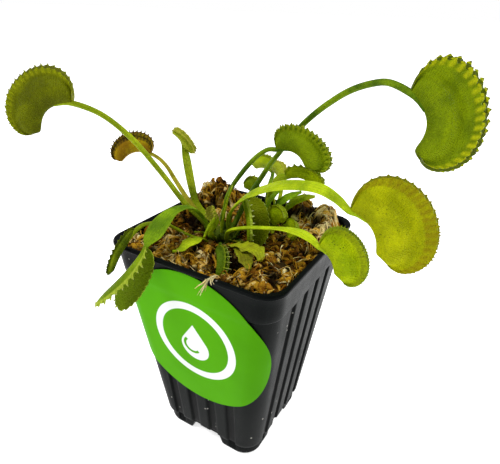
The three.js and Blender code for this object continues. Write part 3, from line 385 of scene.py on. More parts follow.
def route(points, share, power=0.5):
    """Catmull-Rom curve through the points: on each span a cubic whose end slopes come from the
    neighbours, timed by the distances raised to the power. Power 0 times all spans alike."""
    points = np.asarray(points, float)
    knots = np.concatenate([[2 * points[0] - points[1]], points, [2 * points[-1] - points[-2]]])
    spans = len(points) - 1
    k = np.minimum((share * spans).astype(int), spans - 1)
    t = (share * spans - k)[:, None]
    a, b, c, d = (knots[k + i] for i in range(4))
    gaps = [np.maximum(np.linalg.norm(q - p, axis=1, keepdims=True), 1e-6) ** power
            for p, q in ((a, b), (b, c), (c, d))]
    m1 = ((b - a) / gaps[0] - (c - a) / (gaps[0] + gaps[1])) * gaps[1] + c - b
    m2 = ((d - c) / gaps[2] - (d - b) / (gaps[1] + gaps[2])) * gaps[1] + c - b
    return b + m1 * t + (3 * (c - b) - 2 * m1 - m2) * t**2 + (2 * (b - c) + m1 + m2) * t**3


def lengths_along(points):
    """Length along a line of points, from its start."""
    return np.append(0, np.cumsum(np.linalg.norm(np.diff(points, axis=0), axis=1)))


def profile(x, knots, values):
    """Smooth curve through (knots, values): cubics whose slopes are the mean of the chords'."""
    knots, values = np.asarray(knots, float), np.asarray(values, float)
    chord = np.diff(values) / np.diff(knots)
    slope = np.concatenate([chord[:1], (chord[1:] + chord[:-1]) / 2, chord[-1:]])
    k = np.clip(np.searchsorted(knots, x, side="right") - 1, 0, len(knots) - 2)
    gap = knots[k + 1] - knots[k]
    t = (x - knots[k]) / gap
    return (values[k] * (1 + 2 * t) * (1 - t) ** 2 + values[k + 1] * (3 - 2 * t) * t**2
            + gap * t * (1 - t) * (slope[k] * (1 - t) - slope[k + 1] * t))


# ---------------------------------------------------------------- meshes


class Form:
    """Grids of points gathered into one mesh. Each point carries a UV pair in millimetres and
    three marks, which the materials read."""

    def __init__(self):
        self.points, self.faces, self.uv, self.marks, self.skins = [], [], [], [], []
        self.total, self.skin = 0, 0

    def tube(self, rings, uv=(0, 0), marks=(0, 0, 0), ends=None):
        """A closed skin over (..., rows, columns, 3) points: the columns join up, each end is
        drawn in to a point (the ring's centre if ends is None), and it encloses a volume."""
        rings = np.asarray(rings, float)
        ends = rings[..., [0, -1], :, :].mean(-2) if ends is None else np.asarray(ends, float)
        rows, columns = rings.shape[-3] + 2, rings.shape[-2]
        more = [(0, 0)] * (rings.ndim - 3) + [(1, 1), (0, 0), (0, 0)]
        points, uv, marks = (
            np.pad(np.broadcast_to(v, (*rings.shape[:-1], size)), more, mode="edge")
            for v, size in ((rings, 3), (uv, 2), (marks, 3)))
        for row in (0, 1):
            points[..., -row, :, :] = ends[..., row, None, :]
        points = points.reshape(-1, 3)
        grid = np.arange(len(points)).reshape(-1, rows, columns)
        near, far = grid[:, :-1], grid[:, 1:]
        faces = np.stack([near, np.roll(near, -1, 2), np.roll(far, -1, 2), far], -1).reshape(-1, 4)
        a, b, d, e = (points[faces[:, i]] for i in range(4))
        if np.einsum("ij,ij->", a, np.cross(b, d) + np.cross(d, e)) < 0:
            faces = faces[:, ::-1]
        self.points.append(points)
        self.faces.append(faces + self.total)
        self.skins.append(np.full(len(faces), self.skin))
        self.uv.append(uv.reshape(-1, 2))
        self.marks.append(marks.reshape(-1, 3))
        self.total += len(points)

    def piece(self, name, finishes, node, slot, sharp=None):
        """Makes the mesh, closes its poles, and lets the piece stand for its node."""
        points, faces = np.concatenate(self.points) * MM, np.concatenate(self.faces)
        mesh = bpy.data.meshes.new(name)
        mesh.vertices.add(len(points))
        mesh.vertices.foreach_set("co", points.astype(np.float32).ravel())
        mesh.loops.add(faces.size)
        mesh.loops.foreach_set("vertex_index", faces.astype(np.int32).ravel())
        mesh.polygons.add(len(faces))
        mesh.polygons.foreach_set("loop_start", np.arange(0, faces.size, 4, dtype=np.int32))
        skins = np.concatenate(self.skins).astype(np.int32)
        mesh.polygons.foreach_set("material_index", skins)
        mesh.update(calc_edges=True)
        uv = np.concatenate(self.uv)[faces.ravel()].astype(np.float32)
        mesh.uv_layers.new(name="lengths").data.foreach_set("uv", uv.ravel())
        marks = mesh.attributes.new("marks", "FLOAT_VECTOR", "POINT")
        marks.data.foreach_set("vector", np.concatenate(self.marks).astype(np.float32).ravel())
        work = bmesh.new()
        work.from_mesh(mesh)
        bmesh.ops.remove_doubles(work, verts=work.verts, dist=1e-8)
        work.to_mesh(mesh)
        work.free()
        mesh.polygons.foreach_set("use_smooth", np.ones(len(mesh.polygons), bool))
        if sharp is not None:
            mesh.set_sharp_from_angle(angle=math.radians(sharp))
        for finish in finishes:
            mesh.materials.append(finish)
        piece = added(name, mesh)
        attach(piece, "root")
        if node:
            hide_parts(node)
        return piece


# ---------------------------------------------------------------- materials


def math_node(operation, swapped=False):
    """A method that adds a Math node of that operation, with its inputs swapped if need be."""
    def method(self, *others):
        values = (*others, self) if swapped else (self, *others)
        return self.finish.add("Math", {"operation": operation}, dict(enumerate(values)))
    return method


class Number:
    """A number on its way through the nodes. Sums on it add Math nodes."""

    def __init__(self, finish, socket):
        self.finish, self.socket = finish, socket

    __add__ = __radd__ = math_node("ADD")
    __sub__, __rsub__ = math_node("SUBTRACT"), math_node("SUBTRACT", swapped=True)
    __mul__ = __rmul__ = math_node("MULTIPLY")
    __pow__ = math_node("POWER")
    sine, size, most = math_node("SINE"), math_node("ABSOLUTE"), math_node("MAXIMUM")

    def rise(self, low, high):
        """0 at low, 1 at high, eased between. High may lie below low."""
        settings = {"interpolation_type": "SMOOTHSTEP"}
        return self.finish.add("MapRange", settings, {"Value": self, 1: low, 2: high})


class Finish:
    """One material: a Principled shader whose changing inputs come from nodes."""

    def __init__(self, name, **fixed):
        self.material = bpy.data.materials.new(name)
        self.material.use_nodes = True
        self.tree = self.material.node_tree
        self.shader = self.tree.nodes["Principled BSDF"]
        for socket, value in fixed.items():
            self.shader.inputs[socket.replace("_", " ")].default_value = value
        self.places = {None: self.add("TexCoord", {}, {}, "Object")}

    def add(self, kind, settings, inputs, out=0):
        """A node of that kind. Settings come first, a ramp's stops among them, then the values
        or links of its inputs."""
        node = self.tree.nodes.new("ShaderNode" + kind)
        for name, value in settings.items():
            if name == "stops":
                ramp = node.color_ramp.elements
                while len(ramp) < len(value):
                    ramp.new(0.5)
                for element, (position, colour) in zip(ramp, value):
                    element.position = position
                    element.color = (*colour, 1)
            else:
                setattr(node, name, value)
        for socket, value in inputs.items():
            self.feed(node.inputs[socket], value)
        return Number(self, node.outputs[out])

    def feed(self, socket, value):
        """Links a number or colour to a socket, or sets a plain value on it."""
        if isinstance(value, Number):
            self.tree.links.new(value.socket, socket)
        elif isinstance(value, tuple) and len(value) == 3 and socket.type == "RGBA":
            socket.default_value = (*value, 1)
        else:
            socket.default_value = value

    def mix(self, share, low, high):
        """Colour low where share is 0, high where it is 1."""
        settings = {"data_type": "RGBA"}
        return self.add("Mix", settings, {0: share, 6: low, 7: high}, 2)

    def place(self, stretch):
        """Object coordinates in metres, squeezed along the axes by stretch."""
        if stretch not in self.places:
            inputs = {"Vector": self.places[None], "Scale": stretch}
            self.places[stretch] = self.add("Mapping", {}, inputs)
        return self.places[stretch]

    def noise(self, scale, detail=2, stretch=None):
        """Cloudy noise from 0 to 1, scale patches to the metre."""
        inputs = {"Vector": self.place(stretch), "Scale": scale, "Detail": detail}
        return self.add("TexNoise", {}, inputs)

    def cells(self, scale):
        """Distance to the nearest of scattered points, in cells, scale cells to the metre."""
        return self.add("TexVoronoi", {}, {"Vector": self.place(None), "Scale": scale})

    def split(self, vector, count):
        """The first count coordinates of a vector."""
        first = self.add("SeparateXYZ", {}, {0: vector})
        return [Number(self, socket) for socket in first.socket.node.outputs[:count]]

    def pair(self):
        """The UV pair, in millimetres."""
        return self.split(self.add("UVMap", {"uv_map": "lengths"}, {}), 2)

    def marks(self):
        """The three marks of the surface."""
        return self.split(self.add("Attribute", {"attribute_name": "marks"}, {}, "Vector"), 3)

    def done(self, colour, roughness, height, depth):
        """Connects colour and roughness, and bumps the skin by height times depth in metres."""
        self.feed(self.shader.inputs["Base Color"], colour)
        self.feed(self.shader.inputs["Roughness"], roughness)
        bump = self.add("Bump", {}, {"Height": height, "Distance": depth})
        self.feed(self.shader.inputs["Normal"], bump)
        return self.material


def times(colour, factor):
    """The colour made brighter or darker by the factor."""
    return tuple(min(c * factor, 1) for c in colour)


def pot_plastic(colour, wear):
    """Moulded black plastic: fine grain, faint rubbed streaks up the sides, dust specks and
    painted shade in the grooves (mark one)."""
    f = Finish("pot_plastic", IOR=1.49, Specular_IOR_Level=0.042)
    cloud = f.noise(60, 4)
    streak = f.noise(260, 3, (1, 1, 0.08))
    grain = f.noise(2600, 2)
    sunk, _, _ = f.marks()
    dust = f.cells(230).rise(0.12, 0.05) * f.noise(60).rise(0.47, 0.62)
    light = tuple(c * 2 + 0.003 for c in colour)
    skin = f.mix(streak.rise(0.5, 0.8) * wear, colour, light)
    skin = f.mix(cloud.rise(0.55, 0.8) * (wear * 0.6), skin, light)
    # Painted shade: the plastic turns darker where it lies deep in a flute.
    skin = f.mix(sunk.rise(0.3, 1.0) * 0.85, skin, times(colour, 0.2))
    skin = f.mix(dust * 0.75, skin, (0.62, 0.6, 0.55))
    rough = cloud * 0.22 + streak * 0.12 + dust * 0.4 + 0.22
    return f.done(skin, rough, grain + streak * 0.8, 0.00006)


def label_film(colour, motif, ring):
    """Printed film: a white ring round a white water drop on green, with a light mottle and
    painted shade that darkens the green towards the right.
    """
    f = Finish("label_film", IOR=1.46, Specular_IOR_Level=0.02)
    u, v = f.pair()
    u, v = u - LABEL["shift"], v - LABEL["centre"]
    blur, (left, below) = PRINT["blur"], PRINT["glint"]
    radius = (u * u + v * v) ** 0.5
    half = PRINT["ring_half"]
    band = (radius - ring).size().rise(half + blur, half - blur)
    ball = (u * u + (v + PRINT["ball_drop"]) * (v + PRINT["ball_drop"])) ** 0.5
    drop = ball.rise(PRINT["ball"] + blur, PRINT["ball"] - blur)
    slope_u, slope_v = PRINT["cone_slope"]
    cone = (u.size() * slope_u + v * slope_v).rise(PRINT["cone"] + blur, PRINT["cone"] - blur)
    drop = drop.most(cone * v.rise(0.3, 0.5))
    glint = ((u + left) * (u + left) + (v + below) * (v + below)) ** 0.5
    half = PRINT["glint_half"]
    glint = (glint - PRINT["glint_radius"]).size().rise(half + blur, half - blur)
    glint = glint * (u * -1.0 - v - 2.2).rise(0.8, 1.6)
    print_mark = band.most(drop * (1 - glint))
    mottle = f.noise(45, 4)
    fine = f.noise(1500, 2)
    deep = times(colour, 0.58)
    # Painted shade: the green darkens towards the right, from 2 to 32 mm across; the mottle is the
    # film's own.
    green = f.mix(mottle.rise(0.3, 0.75) * 0.25 + u.rise(2, 32) * 0.6, colour, deep)
    white = f.mix(mottle.rise(0.4, 0.8) * 0.25, motif, (0.62, 0.66, 0.62))
    skin = f.mix(print_mark, green, white)
    return f.done(skin, mottle * 0.2 + 0.28, fine * 0.3 + mottle * 4, 0.00005)


def moss_finish(name, darkest, brown, gold, straw):
    """Dried sphagnum: mark one is the strand's tint, mark two painted shade that darkens it to the
    darkest colour, and fine threads run through both."""
    f = Finish(name, Subsurface_Weight=0.08, Subsurface_Scale=0.001, Specular_IOR_Level=0.05)
    tint, deep, _ = f.marks()
    cloud = f.noise(420, 4)
    thread = f.noise(2200, 3)
    stops = [(0.0, darkest), (0.32, brown), (0.62, gold), (1.0, straw)]
    shade = tint * 0.75 + (cloud - 0.5) * 0.55 + (thread - 0.5) * 0.35
    skin = f.add("ValToRGB", {"stops": stops}, {0: shade})
    # Painted shade: mark two turns the moss to the darkest colour.
    skin = f.mix(deep, skin, darkest)
    return f.done(skin, thread * 0.25 + 0.62, cloud + thread * 1.6, 0.0005)


def leaf_skin(name, light, shade, lip, heart, tip, specks):
    """Leaf skin: patches, veins along the lines of even U, gland grain, dark specks, a tinted
    margin (mark one, painted shade where it is below zero), tooth tips (mark two) and inner face
    (mark three, painted shade on the stalks by the crown and on the crown)."""
    f = Finish(name, Subsurface_Weight=0.1, Subsurface_Scale=0.0015, Specular_IOR_Level=0.045,
               Subsurface_Radius=(0.6, 1.0, 0.15))
    u, v = f.pair()
    margin, tooth, inside = f.marks()
    patch = f.noise(120, 3)
    fine = f.noise(800, 3)
    grain = f.cells(1700)
    vein = (u * 5.2 + patch * 9 + v * 0.05).sine() * 0.5 + 0.5
    line = (v * 2.4 + patch * 7).sine() * 0.5 + 0.5
    skin = f.mix(patch.rise(0.36, 0.66), shade, light)
    veined = 0.34 if name.startswith("stem") else 0.13
    skin = f.mix(vein.rise(0.6, 1.0) * veined + line.rise(0.6, 1.0) * 0.12, skin, shade)
    skin = f.mix(grain.rise(0.38, 0.1) * 0.5, skin, times(shade, 0.8))
    skin = f.mix(fine.rise(0.56, 0.8) * 0.3, skin, times(light, 1.5))
    skin = f.mix(margin.rise(0, 1) * (fine.rise(0.3, 0.6) * 0.35 + 0.6), skin, lip)
    # Painted shade: below zero, mark one darkens the grooves between the ribs and the swell by the
    # midrib.
    skin = f.mix(margin.rise(0, -0.6) * 0.8, skin, times(shade, 0.35))
    # Mark three: the inner face of a trap, and painted shade at the foot of the stalks and on the
    # crown.
    skin = f.mix(inside * (patch.rise(0.3, 0.6) * 0.4 + 0.55), skin, heart)
    dense = f.noise(170).rise(0.5, 0.62).most(margin.rise(0.5, 1.0) * 0.8)
    speck = f.cells(1100).rise(0.28, 0.14) * dense * specks
    skin = f.mix(speck, skin, (0.03, 0.03, 0.004))
    skin = f.mix(tooth.rise(0.2, 0.85), skin, tip)
    height = vein * 0.25 + line * 0.2 - grain * 0.9 + fine * 0.9
    return f.done(skin, fine * 0.25 + patch * 0.1 + 0.32, height, 0.00028)


def floor_paint(colour, glow):
    """Matt studio floor with a barely visible mottle, lit a little from within like a light
    table."""
    f = Finish("studio_floor", IOR=1.3, Emission_Color=(1, 1, 1, 1), Emission_Strength=glow)
    cloud = f.noise(4, 2)
    skin = f.mix(cloud, colour, times(colour, 0.985))
    return f.done(skin, cloud * 0.05 + 0.9, cloud, 0.00001)


# ---------------------------------------------------------------- the pot


def square_ring(half, corner, columns, inset=0.0):
    """Rounded square, counter-clockwise from the start of the -Y side. Columns are shares of a
    side from -1 to 1 along the flat, with the corner's arc after it, and inset draws them in."""
    flat = half - corner
    along, bend = columns
    x = along * flat + corner * np.sin(bend)
    y = inset - (flat + corner * np.cos(bend))
    return np.concatenate([joined(x * c - y * s, x * s + y * c)
                           for c, s in ((1, 0), (0, 1), (-1, 0), (0, -1))])


def columns_of(along, corner_steps):
    """The given places along one side, then evenly spaced ones round its corner."""
    bend = np.linspace(0, math.pi / 2, corner_steps + 1)[1:-1]
    return np.append(along, np.ones(len(bend))), np.append(np.zeros(len(along)), bend)


def pot_corner(z):
    """Corner radius, growing evenly with the height."""
    return lerp(POT["bottom_corner"], POT["rim_corner"], z / POT["height"])


def body_half(z):
    """Half width of the tapered body, growing evenly with the height."""
    share = (z - POT["body_bottom"]) / (POT["collar_bottom"] - POT["body_bottom"])
    return lerp(POT["body_bottom_half"], POT["body_top_half"], share)


def cavity_half(z):
    """Half width inside the pot: straight lines between four levels."""
    levels = [POT["floor_top"], FLUTE["top"] - 2.6, POT["collar_bottom"] + 1, POT["height"]]
    inset = FLUTE["depth"] + POT["wall"]
    halves = [body_half(levels[0]) - inset, body_half(FLUTE["top"]) - inset,
              POT["collar_bottom_half"] - POT["wall"], POT["collar_top_half"] - POT["wall"]]
    return np.interp(z, levels, halves)


def fluted_ring(z, half, groove):
    """The pot's outline at one level. Each groove's flank falls by smooth() over its slope, and
    the grooves spread apart with the height."""
    corner = pot_corner(z)
    flat = half - corner
    edge, slope, count = FLUTE["width"] / 2, FLUTE["slope"], FLUTE["count"]
    flank = np.linspace(0, 1, 6)
    bed = np.linspace(slope - edge, edge - slope, 6)[1:-1]
    across = np.concatenate([slope * flank - edge, bed, edge - slope * (1 - flank)])
    fall = np.concatenate([smooth(flank), np.ones(4), smooth(1 - flank)])
    pitch = lerp(*FLUTE["pitch"], z / POT["collar_bottom"])
    middles = (np.arange(count) - (count - 1) / 2) * pitch
    grooves = middles[:, None] + across
    ribs = np.linspace([-flat, *grooves[:, -1]], [*grooves[:, 0], flat], 7, axis=1)[:, 1:-1]
    along = np.concatenate([[-flat], np.hstack([ribs[:-1], grooves]).ravel(), ribs[-1],
                            [flat]]) / flat
    columns = columns_of(along, 10)
    depth = np.zeros(len(columns[0]))
    depth[1:1 + 21 * count] = np.tile(np.append(np.zeros(5), fall), count) * groove
    return square_ring(half, corner, columns, depth)


def under_pot(ring):
    """Level of the pot's underside: 0 below the four feet, the foot height in the crossing
    channels between them, eased over the feet's rounded flanks."""
    feet = smooth((np.abs(ring) - POT["foot_gap"] / 2 + 0.3) / 2.4)
    return POT["foot_height"] * (1 - feet[..., 0] * feet[..., 1])


def pot_form():
    """Rings from the middle of the underside out, up the fluted wall, over the lip and down the
    inside to the middle of the floor. Mark one is how deep a spot lies in its groove, the mask of
    the painted shade in the grooves."""
    foot, top, bottom = POT["foot_half"], POT["height"], POT["body_bottom"]
    step, collar = POT["collar_bottom"], POT["collar_bottom_half"]
    lip, rim, depth = top - POT["lip_drop"], POT["rim_half"], FLUTE["depth"]
    fade = FLUTE["top"] - 3.0
    sole = fluted_ring(0.0, foot - 1.3, 0.0)
    rings = [joined(*(sole * s).T, under_pot(sole * s)) for s in np.linspace(0.03, 0.97, 30)]
    # The feet are rounded off below, drawn in under a small step, and the grooves fade on them.
    rows = [(z, foot - 0.1 - drop, depth * groove) for z, drop, groove in
            ((0.0, 1.1, 0), (0.1, 0.7, 0), (0.3, 0.4, 0), (0.7, 0.18, 0.05), (1.3, 0.08, 0.2),
             (2.3, 0.02, 0.5), (3.5, 0.0, 0.75), (4.8, 0.0, 0.9), (5.5, -0.1, 0.95))]
    rows += [(z, half, depth) for z, half in
             ((5.9, foot + 0.25), (6.15, 25.1), (6.4, 25.42), (6.8, body_half(6.8)))]
    rows += [(z, body_half(z), depth * (1 - smooth((z - fade) / 3.0)))
             for z in (*np.linspace(8, fade, 21), *np.linspace(82, FLUTE["top"], 8))]
    rows += [(z, h, 0.0) for z, h in (
        (step - 0.4, body_half(step - 0.4)), (step, POT["body_top_half"] + 0.05),
        (step + 0.22, collar - 0.2), (step + 0.5, collar), (step + 0.9, collar + 0.12),
        (89, collar + 0.43), (93, collar + 0.9), (lip - 0.35, collar + 1.36),
        (lip, rim - 1), (lip + 0.12, rim - 0.5), (lip + 0.3, rim - 0.15), (lip + 0.55, rim),
        (top - 0.5, rim), (top - 0.22, rim - 0.1), (top - 0.05, rim - 0.4), (top, rim - 0.8),
        (top, rim - 1.5), (top - 0.1, rim - 1.9), (top - 0.35, rim - 2.15),
        (top - 0.8, cavity_half(top - 0.8)))]
    rows += [(z, cavity_half(z), 0.0) for z in (95, 91, 86.4, 82, 60, 40, 20, 8.2, 7.0)]
    marks = [np.zeros_like(ring) for ring in rings]
    for z, half, groove in rows:
        ring = fluted_ring(z, half, groove)
        lifted = z + under_pot(ring) * max(1 - z / (bottom + 0.6), 0)
        rings.append(joined(*ring.T, lifted))
        # How deep the spot lies in its groove: the mask of the painted shade.
        sunk = np.linalg.norm(ring - fluted_ring(z, half, 0.0), axis=1) / depth
        marks.append(sunk[:, None] * (1, 0, 0))
    inner = rings[-1]
    for share in (0.97, 0.8, 0.5, 0.2):
        rings.append(inner * (share, share, 0) + (0, 0, POT["floor_top"]))
        marks.append(np.zeros_like(inner))
    form = Form()
    form.tube(rings, marks=marks)
    return form


def drained(piece):
    """Cuts the round drain holes through the floor and keeps the result as the piece's mesh."""
    circle = joined(*ring_angles(24), 0.0) * DRAIN["radius"]
    drill = Form()
    for x, y in ((0, 0), (1, 0), (-1, 0), (0, 1), (0, -1)):
        middle = np.array([x, y, 0]) * DRAIN["offset"]
        drill.tube([circle + middle + (0, 0, z) for z in (-3.0, 11.0)])
    tool = drill.piece("drill", [piece.data.materials[0]], None, "pot_plastic")
    cut = piece.modifiers.new("drain_holes", "BOOLEAN")
    cut.operation, cut.object, cut.solver = "DIFFERENCE", tool, "MANIFOLD"
    solid = bpy.data.meshes.new_from_object(
        piece.evaluated_get(bpy.context.evaluated_depsgraph_get()))
    piece.modifiers.clear()
    piece.data = solid
    bpy.data.objects.remove(tool)
    solid.polygons.foreach_set("use_smooth", np.ones(len(solid.polygons), bool))
    solid.set_sharp_from_angle(angle=math.radians(38))


# ---------------------------------------------------------------- the label


def label_half(z):
    """Half width of the skin that the label lies on: over the collar, then drawn in a little
    below the collar's step and lying from rib to rib."""
    over = POT["collar_bottom_half"] + 0.12 * (z - POT["collar_bottom"]) + 0.12
    return over - 0.3 * smooth((POT["collar_bottom"] + 0.6 - z) / 3.0)


def label_form():
    """A disc of film on the pot's front: its width at each level is the disc's chord, laid
    along the flat and on round both corners."""
    rows, columns = 90, 150
    rise = np.sin(np.linspace(-0.999, 0.999, rows) * math.pi / 2)
    z = LABEL["centre"] + LABEL["radius"] * rise
    chord = LABEL["radius"] * np.sqrt(1 - rise**2)
    share = np.sin(np.linspace(-1, 1, columns) * math.pi / 2)
    reach = LABEL["shift"] + chord[:, None] * share
    z = np.broadcast_to(z[:, None], reach.shape)
    corner = LABEL["corner"]
    flat = label_half(z) - corner
    bend = np.clip((np.abs(reach) - flat) / corner, 0, None)
    crease = (0.16 * bell(bend - 0.55, 0.12) * smooth((z - 65) / 12)
              + 0.1 * bell(bend - 0.95, 0.1) * smooth((z - 51) / 12)) * (reach < 0)
    uneven = 0.16 * (noise(joined(reach, z, 0.0), 9, 5) - 0.5)

    def skin(lift):
        out = corner + lift + crease + uneven * smooth(lift)
        x = np.minimum(np.abs(reach), flat) + out * np.sin(bend)
        return joined(np.sign(reach) * x, -(flat + out * np.cos(bend)), z)

    outer, inner = skin(LABEL["thickness"]), skin(0.0)
    rings = np.concatenate([outer, inner[:, ::-1]], axis=1)
    uv = joined(reach, z)
    form = Form()
    form.tube(rings, np.concatenate([uv, uv[:, ::-1]], axis=1))
    return form


# ---------------------------------------------------------------- the moss


def moss_height(x, y):
    """Level bed plus a bell for each mound or hollow and a gentle crossed ripple."""
    level = MOSS["level"] + 0.8 * (np.sin(0.55 * x + 1.4 * np.sin(0.3 * y))
                                   * np.cos(0.47 * y - 0.2 * x))
    for mx, my, rise, spread in MOUNDS:
        level = level + rise * around(x, y, mx, my, spread)
    return level


def moss_bed_form():
    """The bed: rings up the pot's inside and over the top, lumpy with noise of three sizes.
    Mark one is the tint, mark two painted shade: on the walls, where a spot lies below its
    surroundings, between the clumps and in the hollows."""
    columns = columns_of(np.linspace(-1, 1, 45), 8)
    levels = (MOSS["bottom"], 40.0, 82.0, 86.4, 91.0, MOSS["level"])
    *walls, top = (square_ring(cavity_half(z) - MOSS["gap"], pot_corner(z) - 1, columns)
                   for z in levels)
    rings = [joined(*wall.T, z) for wall, z in zip(walls, levels)]
    # Painted shade down the walls, where the bed meets the pot.
    marks = [np.zeros_like(ring) + (0.2, 0.6, 0) for ring in rings]
    for share in np.linspace(1, 0.004, 84):
        x, y = (top * share).T
        spot = joined(x, y, 0.0)
        lumps = (noise(spot, 6, 1) - 0.5) * 2.2 + (noise(spot, 2.4, 2) - 0.5) * 1.8
        lumps = lumps + (noise(spot, 1.0, 3) - 0.5) * 0.8
        level = moss_height(x, y) - 0.9 + lumps * smooth((1 - share) * 12)
        brim = MOSS["brim"] - 0.6 + 60 * (1 - share)
        rings.append(joined(x, y, np.minimum(level, brim)))
        # Painted shade in the dips of the lumps, between the clumps and in the hollows.
        moss_shade = np.maximum(smooth(0.35 - lumps * 0.4), clumps(x, y)[1])
        marks.append(joined(noise(spot, 5, 4), moss_shade, 0.0))
    form = Form()
    form.tube(rings, marks=marks)
    return form


def scattered(rng, count):
    """Places inside the pot's outline and outside the two crowns' wells."""
    spots = rng.uniform(-MOSS["strewn"], MOSS["strewn"], (count * 2, 2))
    inside = np.abs(spots).sum(axis=1) < MOSS["strewn_diagonal"]
    for x, y, _ in CROWNS.values():
        inside &= np.hypot(spots[:, 0] - x, spots[:, 1] - y) > MOSS["well"]
    return spots[inside][:count]


def strands(form, start, heading, length, width, thick, bend, lift, tint, sides, rng):
    """Strands lying on the moss: each sets off on its heading, turns by bend over its length,
    hugs the bed's height and arches by lift sin(pi s). The section is a flattened ring that
    swells and thins along the strand and twists as it goes."""
    s = np.linspace(0, 1, STRAND_STEPS)
    wave = rng.uniform(0, 6.3, (len(start), 1))
    angle = heading[:, None] + bend[:, None] * s + 0.5 * np.sin(5 * s + wave)
    step = length[:, None] / (STRAND_STEPS - 1)
    x = start[:, :1] + np.cumsum(np.cos(angle) * step, axis=1)
    y = start[:, 1:] + np.cumsum(np.sin(angle) * step, axis=1)
    x, y = (np.clip(w, -MOSS["reach"], MOSS["reach"]) for w in (x, y))
    over = np.maximum(np.abs(x) + np.abs(y) - MOSS["diagonal"], 0) / 2
    x, y = x - np.sign(x) * over, y - np.sign(y) * over
    z = lift[:, None] * np.sin(math.pi * s) + 0.35 * np.sin(9 * s + 2 * wave)
    z = z + rng.uniform(-0.9, 0.7, (len(start), 1))
    clump, moss_shade = clumps(x, y)
    # Painted shade: strands that lie low, between the clumps and in the hollows, are darkened.
    sunk = np.maximum(smooth((0.2 - z) / 1.6) * 0.75, moss_shade)
    z = z + moss_height(x, y) + MOSS["heap"] * (clump - 0.5)
    # The litter stays below the rim, but heaps up against it at the back left.
    edge = np.maximum(np.maximum(np.abs(x), np.abs(y)),
                      (np.abs(x) + np.abs(y)) / MOSS["edge_diagonal"])
    brim = smooth((edge - MOSS["edge"]) / 3)
    z = np.minimum(z, lerp(z, MOSS["brim"] + MOSS["heap"] * smooth((y - x - 10) / 20), brim))
    ribbon(form, joined(x, y, z), width, thick, wave, tint, sunk, sides, rng)


def clumps(x, y):
    """Height of the clumps of litter, 0 to 1, and the painted shade between them and in the
    hollows."""
    clump = noise(joined(x, y, 0.0), 4.2, 21)
    hollow = sum(around(x, y, mx, my, spread * 0.8)
                 for mx, my, rise, spread in MOUNDS if rise < 0)
    return clump, smooth((0.53 - clump) * 4.6 + 0.95 * np.minimum(hollow, 1.3) - 0.15) * 0.97


def ribbon(form, centre, width, thick, wave, tint, sunk, sides, rng):
    """Flattened rings of the given sides round each centre line. Mark one is the tint, mark two
    painted shade: on the lower half of the ring, and on all of it where it is sunk."""
    s = np.linspace(0, 1, centre.shape[1])
    along = unit(np.gradient(centre, axis=1))
    side = unit(np.cross(along, rng.normal(0, 1, (len(centre), 1, 3)) * 0.6 + (0, 0, 1.0)))
    face = np.cross(side, along)
    swell = (0.25 + 0.75 * np.sin(math.pi * (0.06 + 0.88 * s))
             * (0.75 + 0.25 * np.sin(14 * s + wave)))
    across, up = ring_angles(sides)
    twist = (wave + 2.2 * s)[..., None]
    wide = (width[:, None] * swell)[..., None] * across / 2
    tall = (thick[:, None] * swell)[..., None] * up / 2
    a = wide * np.cos(twist) - tall * np.sin(twist)
    b = wide * np.sin(twist) * 0.6 + tall * np.cos(twist)
    rings = centre[:, :, None] + a[..., None] * side[:, :, None] + b[..., None] * face[:, :, None]
    # Painted shade on the underside of each ring, which turns from the light above.
    low = smooth(-b / np.maximum(np.abs(b).max(axis=-1, keepdims=True), 1e-6))
    dark = np.maximum(0.75 * low, sunk[..., None])
    form.tube(rings, marks=joined(tint[:, None, None], dark, 0.0))


def moss_litter(flakes, threads):
    """Curled flakes and fine threads of dried moss, in clumps of one tint, heaped up on the
    back left mound and pale and fluffy at the back right, and a tuft hanging over the rim."""
    rng = np.random.default_rng(11)
    flake_form, thread_form = Form(), Form()
    for form, count, fine in ((flake_form, flakes, 0), (thread_form, threads, 1)):
        start = scattered(rng, count)
        count = len(start)
        x, y = start.T
        clump = noise(joined(x, y, 0.0), 5, 8)
        fluff, heap, ruddy = (around(x, y, *place) for place in (FLUFF, HEAP, RUDDY))
        tint = np.clip(clump * 0.8 + rng.normal(0.2, 0.28, count) - 0.16 * ruddy
                       + fluff * (0.4 + 0.5 * fine), 0, 1.25)
        length = rng.uniform(3.5, 9, count) * (1 + 0.3 * fine) * (1 - 0.4 * heap)
        width = rng.uniform(0.3, 0.8, count) if fine else rng.uniform(1.6, 4.2, count)
        thick = width * 0.7 if fine else rng.uniform(0.7, 1.7, count)
        lift = rng.uniform(-0.4, 1.9, count) * (1 + fine) + rng.uniform(-1, 4.5, count) * heap
        strands(form, start, rng.uniform(0, 6.3, count), length, width, thick,
                rng.normal(0, 1.9, count), lift, tint + 0.1 * fine, 6 - 2 * fine, rng)
    # The tuft: threads from the bed over the rim, splayed as they hang on the label.
    count = TUFT_THREADS
    splay = rng.normal(0, 1, (count, 1, 3)) * (0.7, 0.12, 0.8)
    spread = np.abs(np.linspace(-0.7, 1.3, STRAND_STEPS))[:, None] ** 1.3
    stop = rng.uniform(0.45, 1.0, count)
    line = np.array([route(TUFT, np.linspace(rng.uniform(0, 0.3), end, STRAND_STEPS))
                     for end in stop]) + splay * spread
    front = np.where(line[..., 2] < TUFT_RIM, TUFT_FRONT, 0)
    line[..., 1] = np.minimum(line[..., 1], front)
    ribbon(thread_form, line, rng.uniform(0.4, 1.0, count), rng.uniform(0.25, 0.45, count),
           rng.uniform(0, 6.3, (count, 1)), rng.uniform(1.1, 1.5, count), np.zeros(line.shape[:2]),
           4, rng)
    return flake_form, thread_form


# ---------------------------------------------------------------- leaves


def ring_angles(count):
    """Cosines and sines of count evenly spaced angles."""
    turn = np.arange(count) * 2 * math.pi / count
    return np.cos(turn), np.sin(turn)


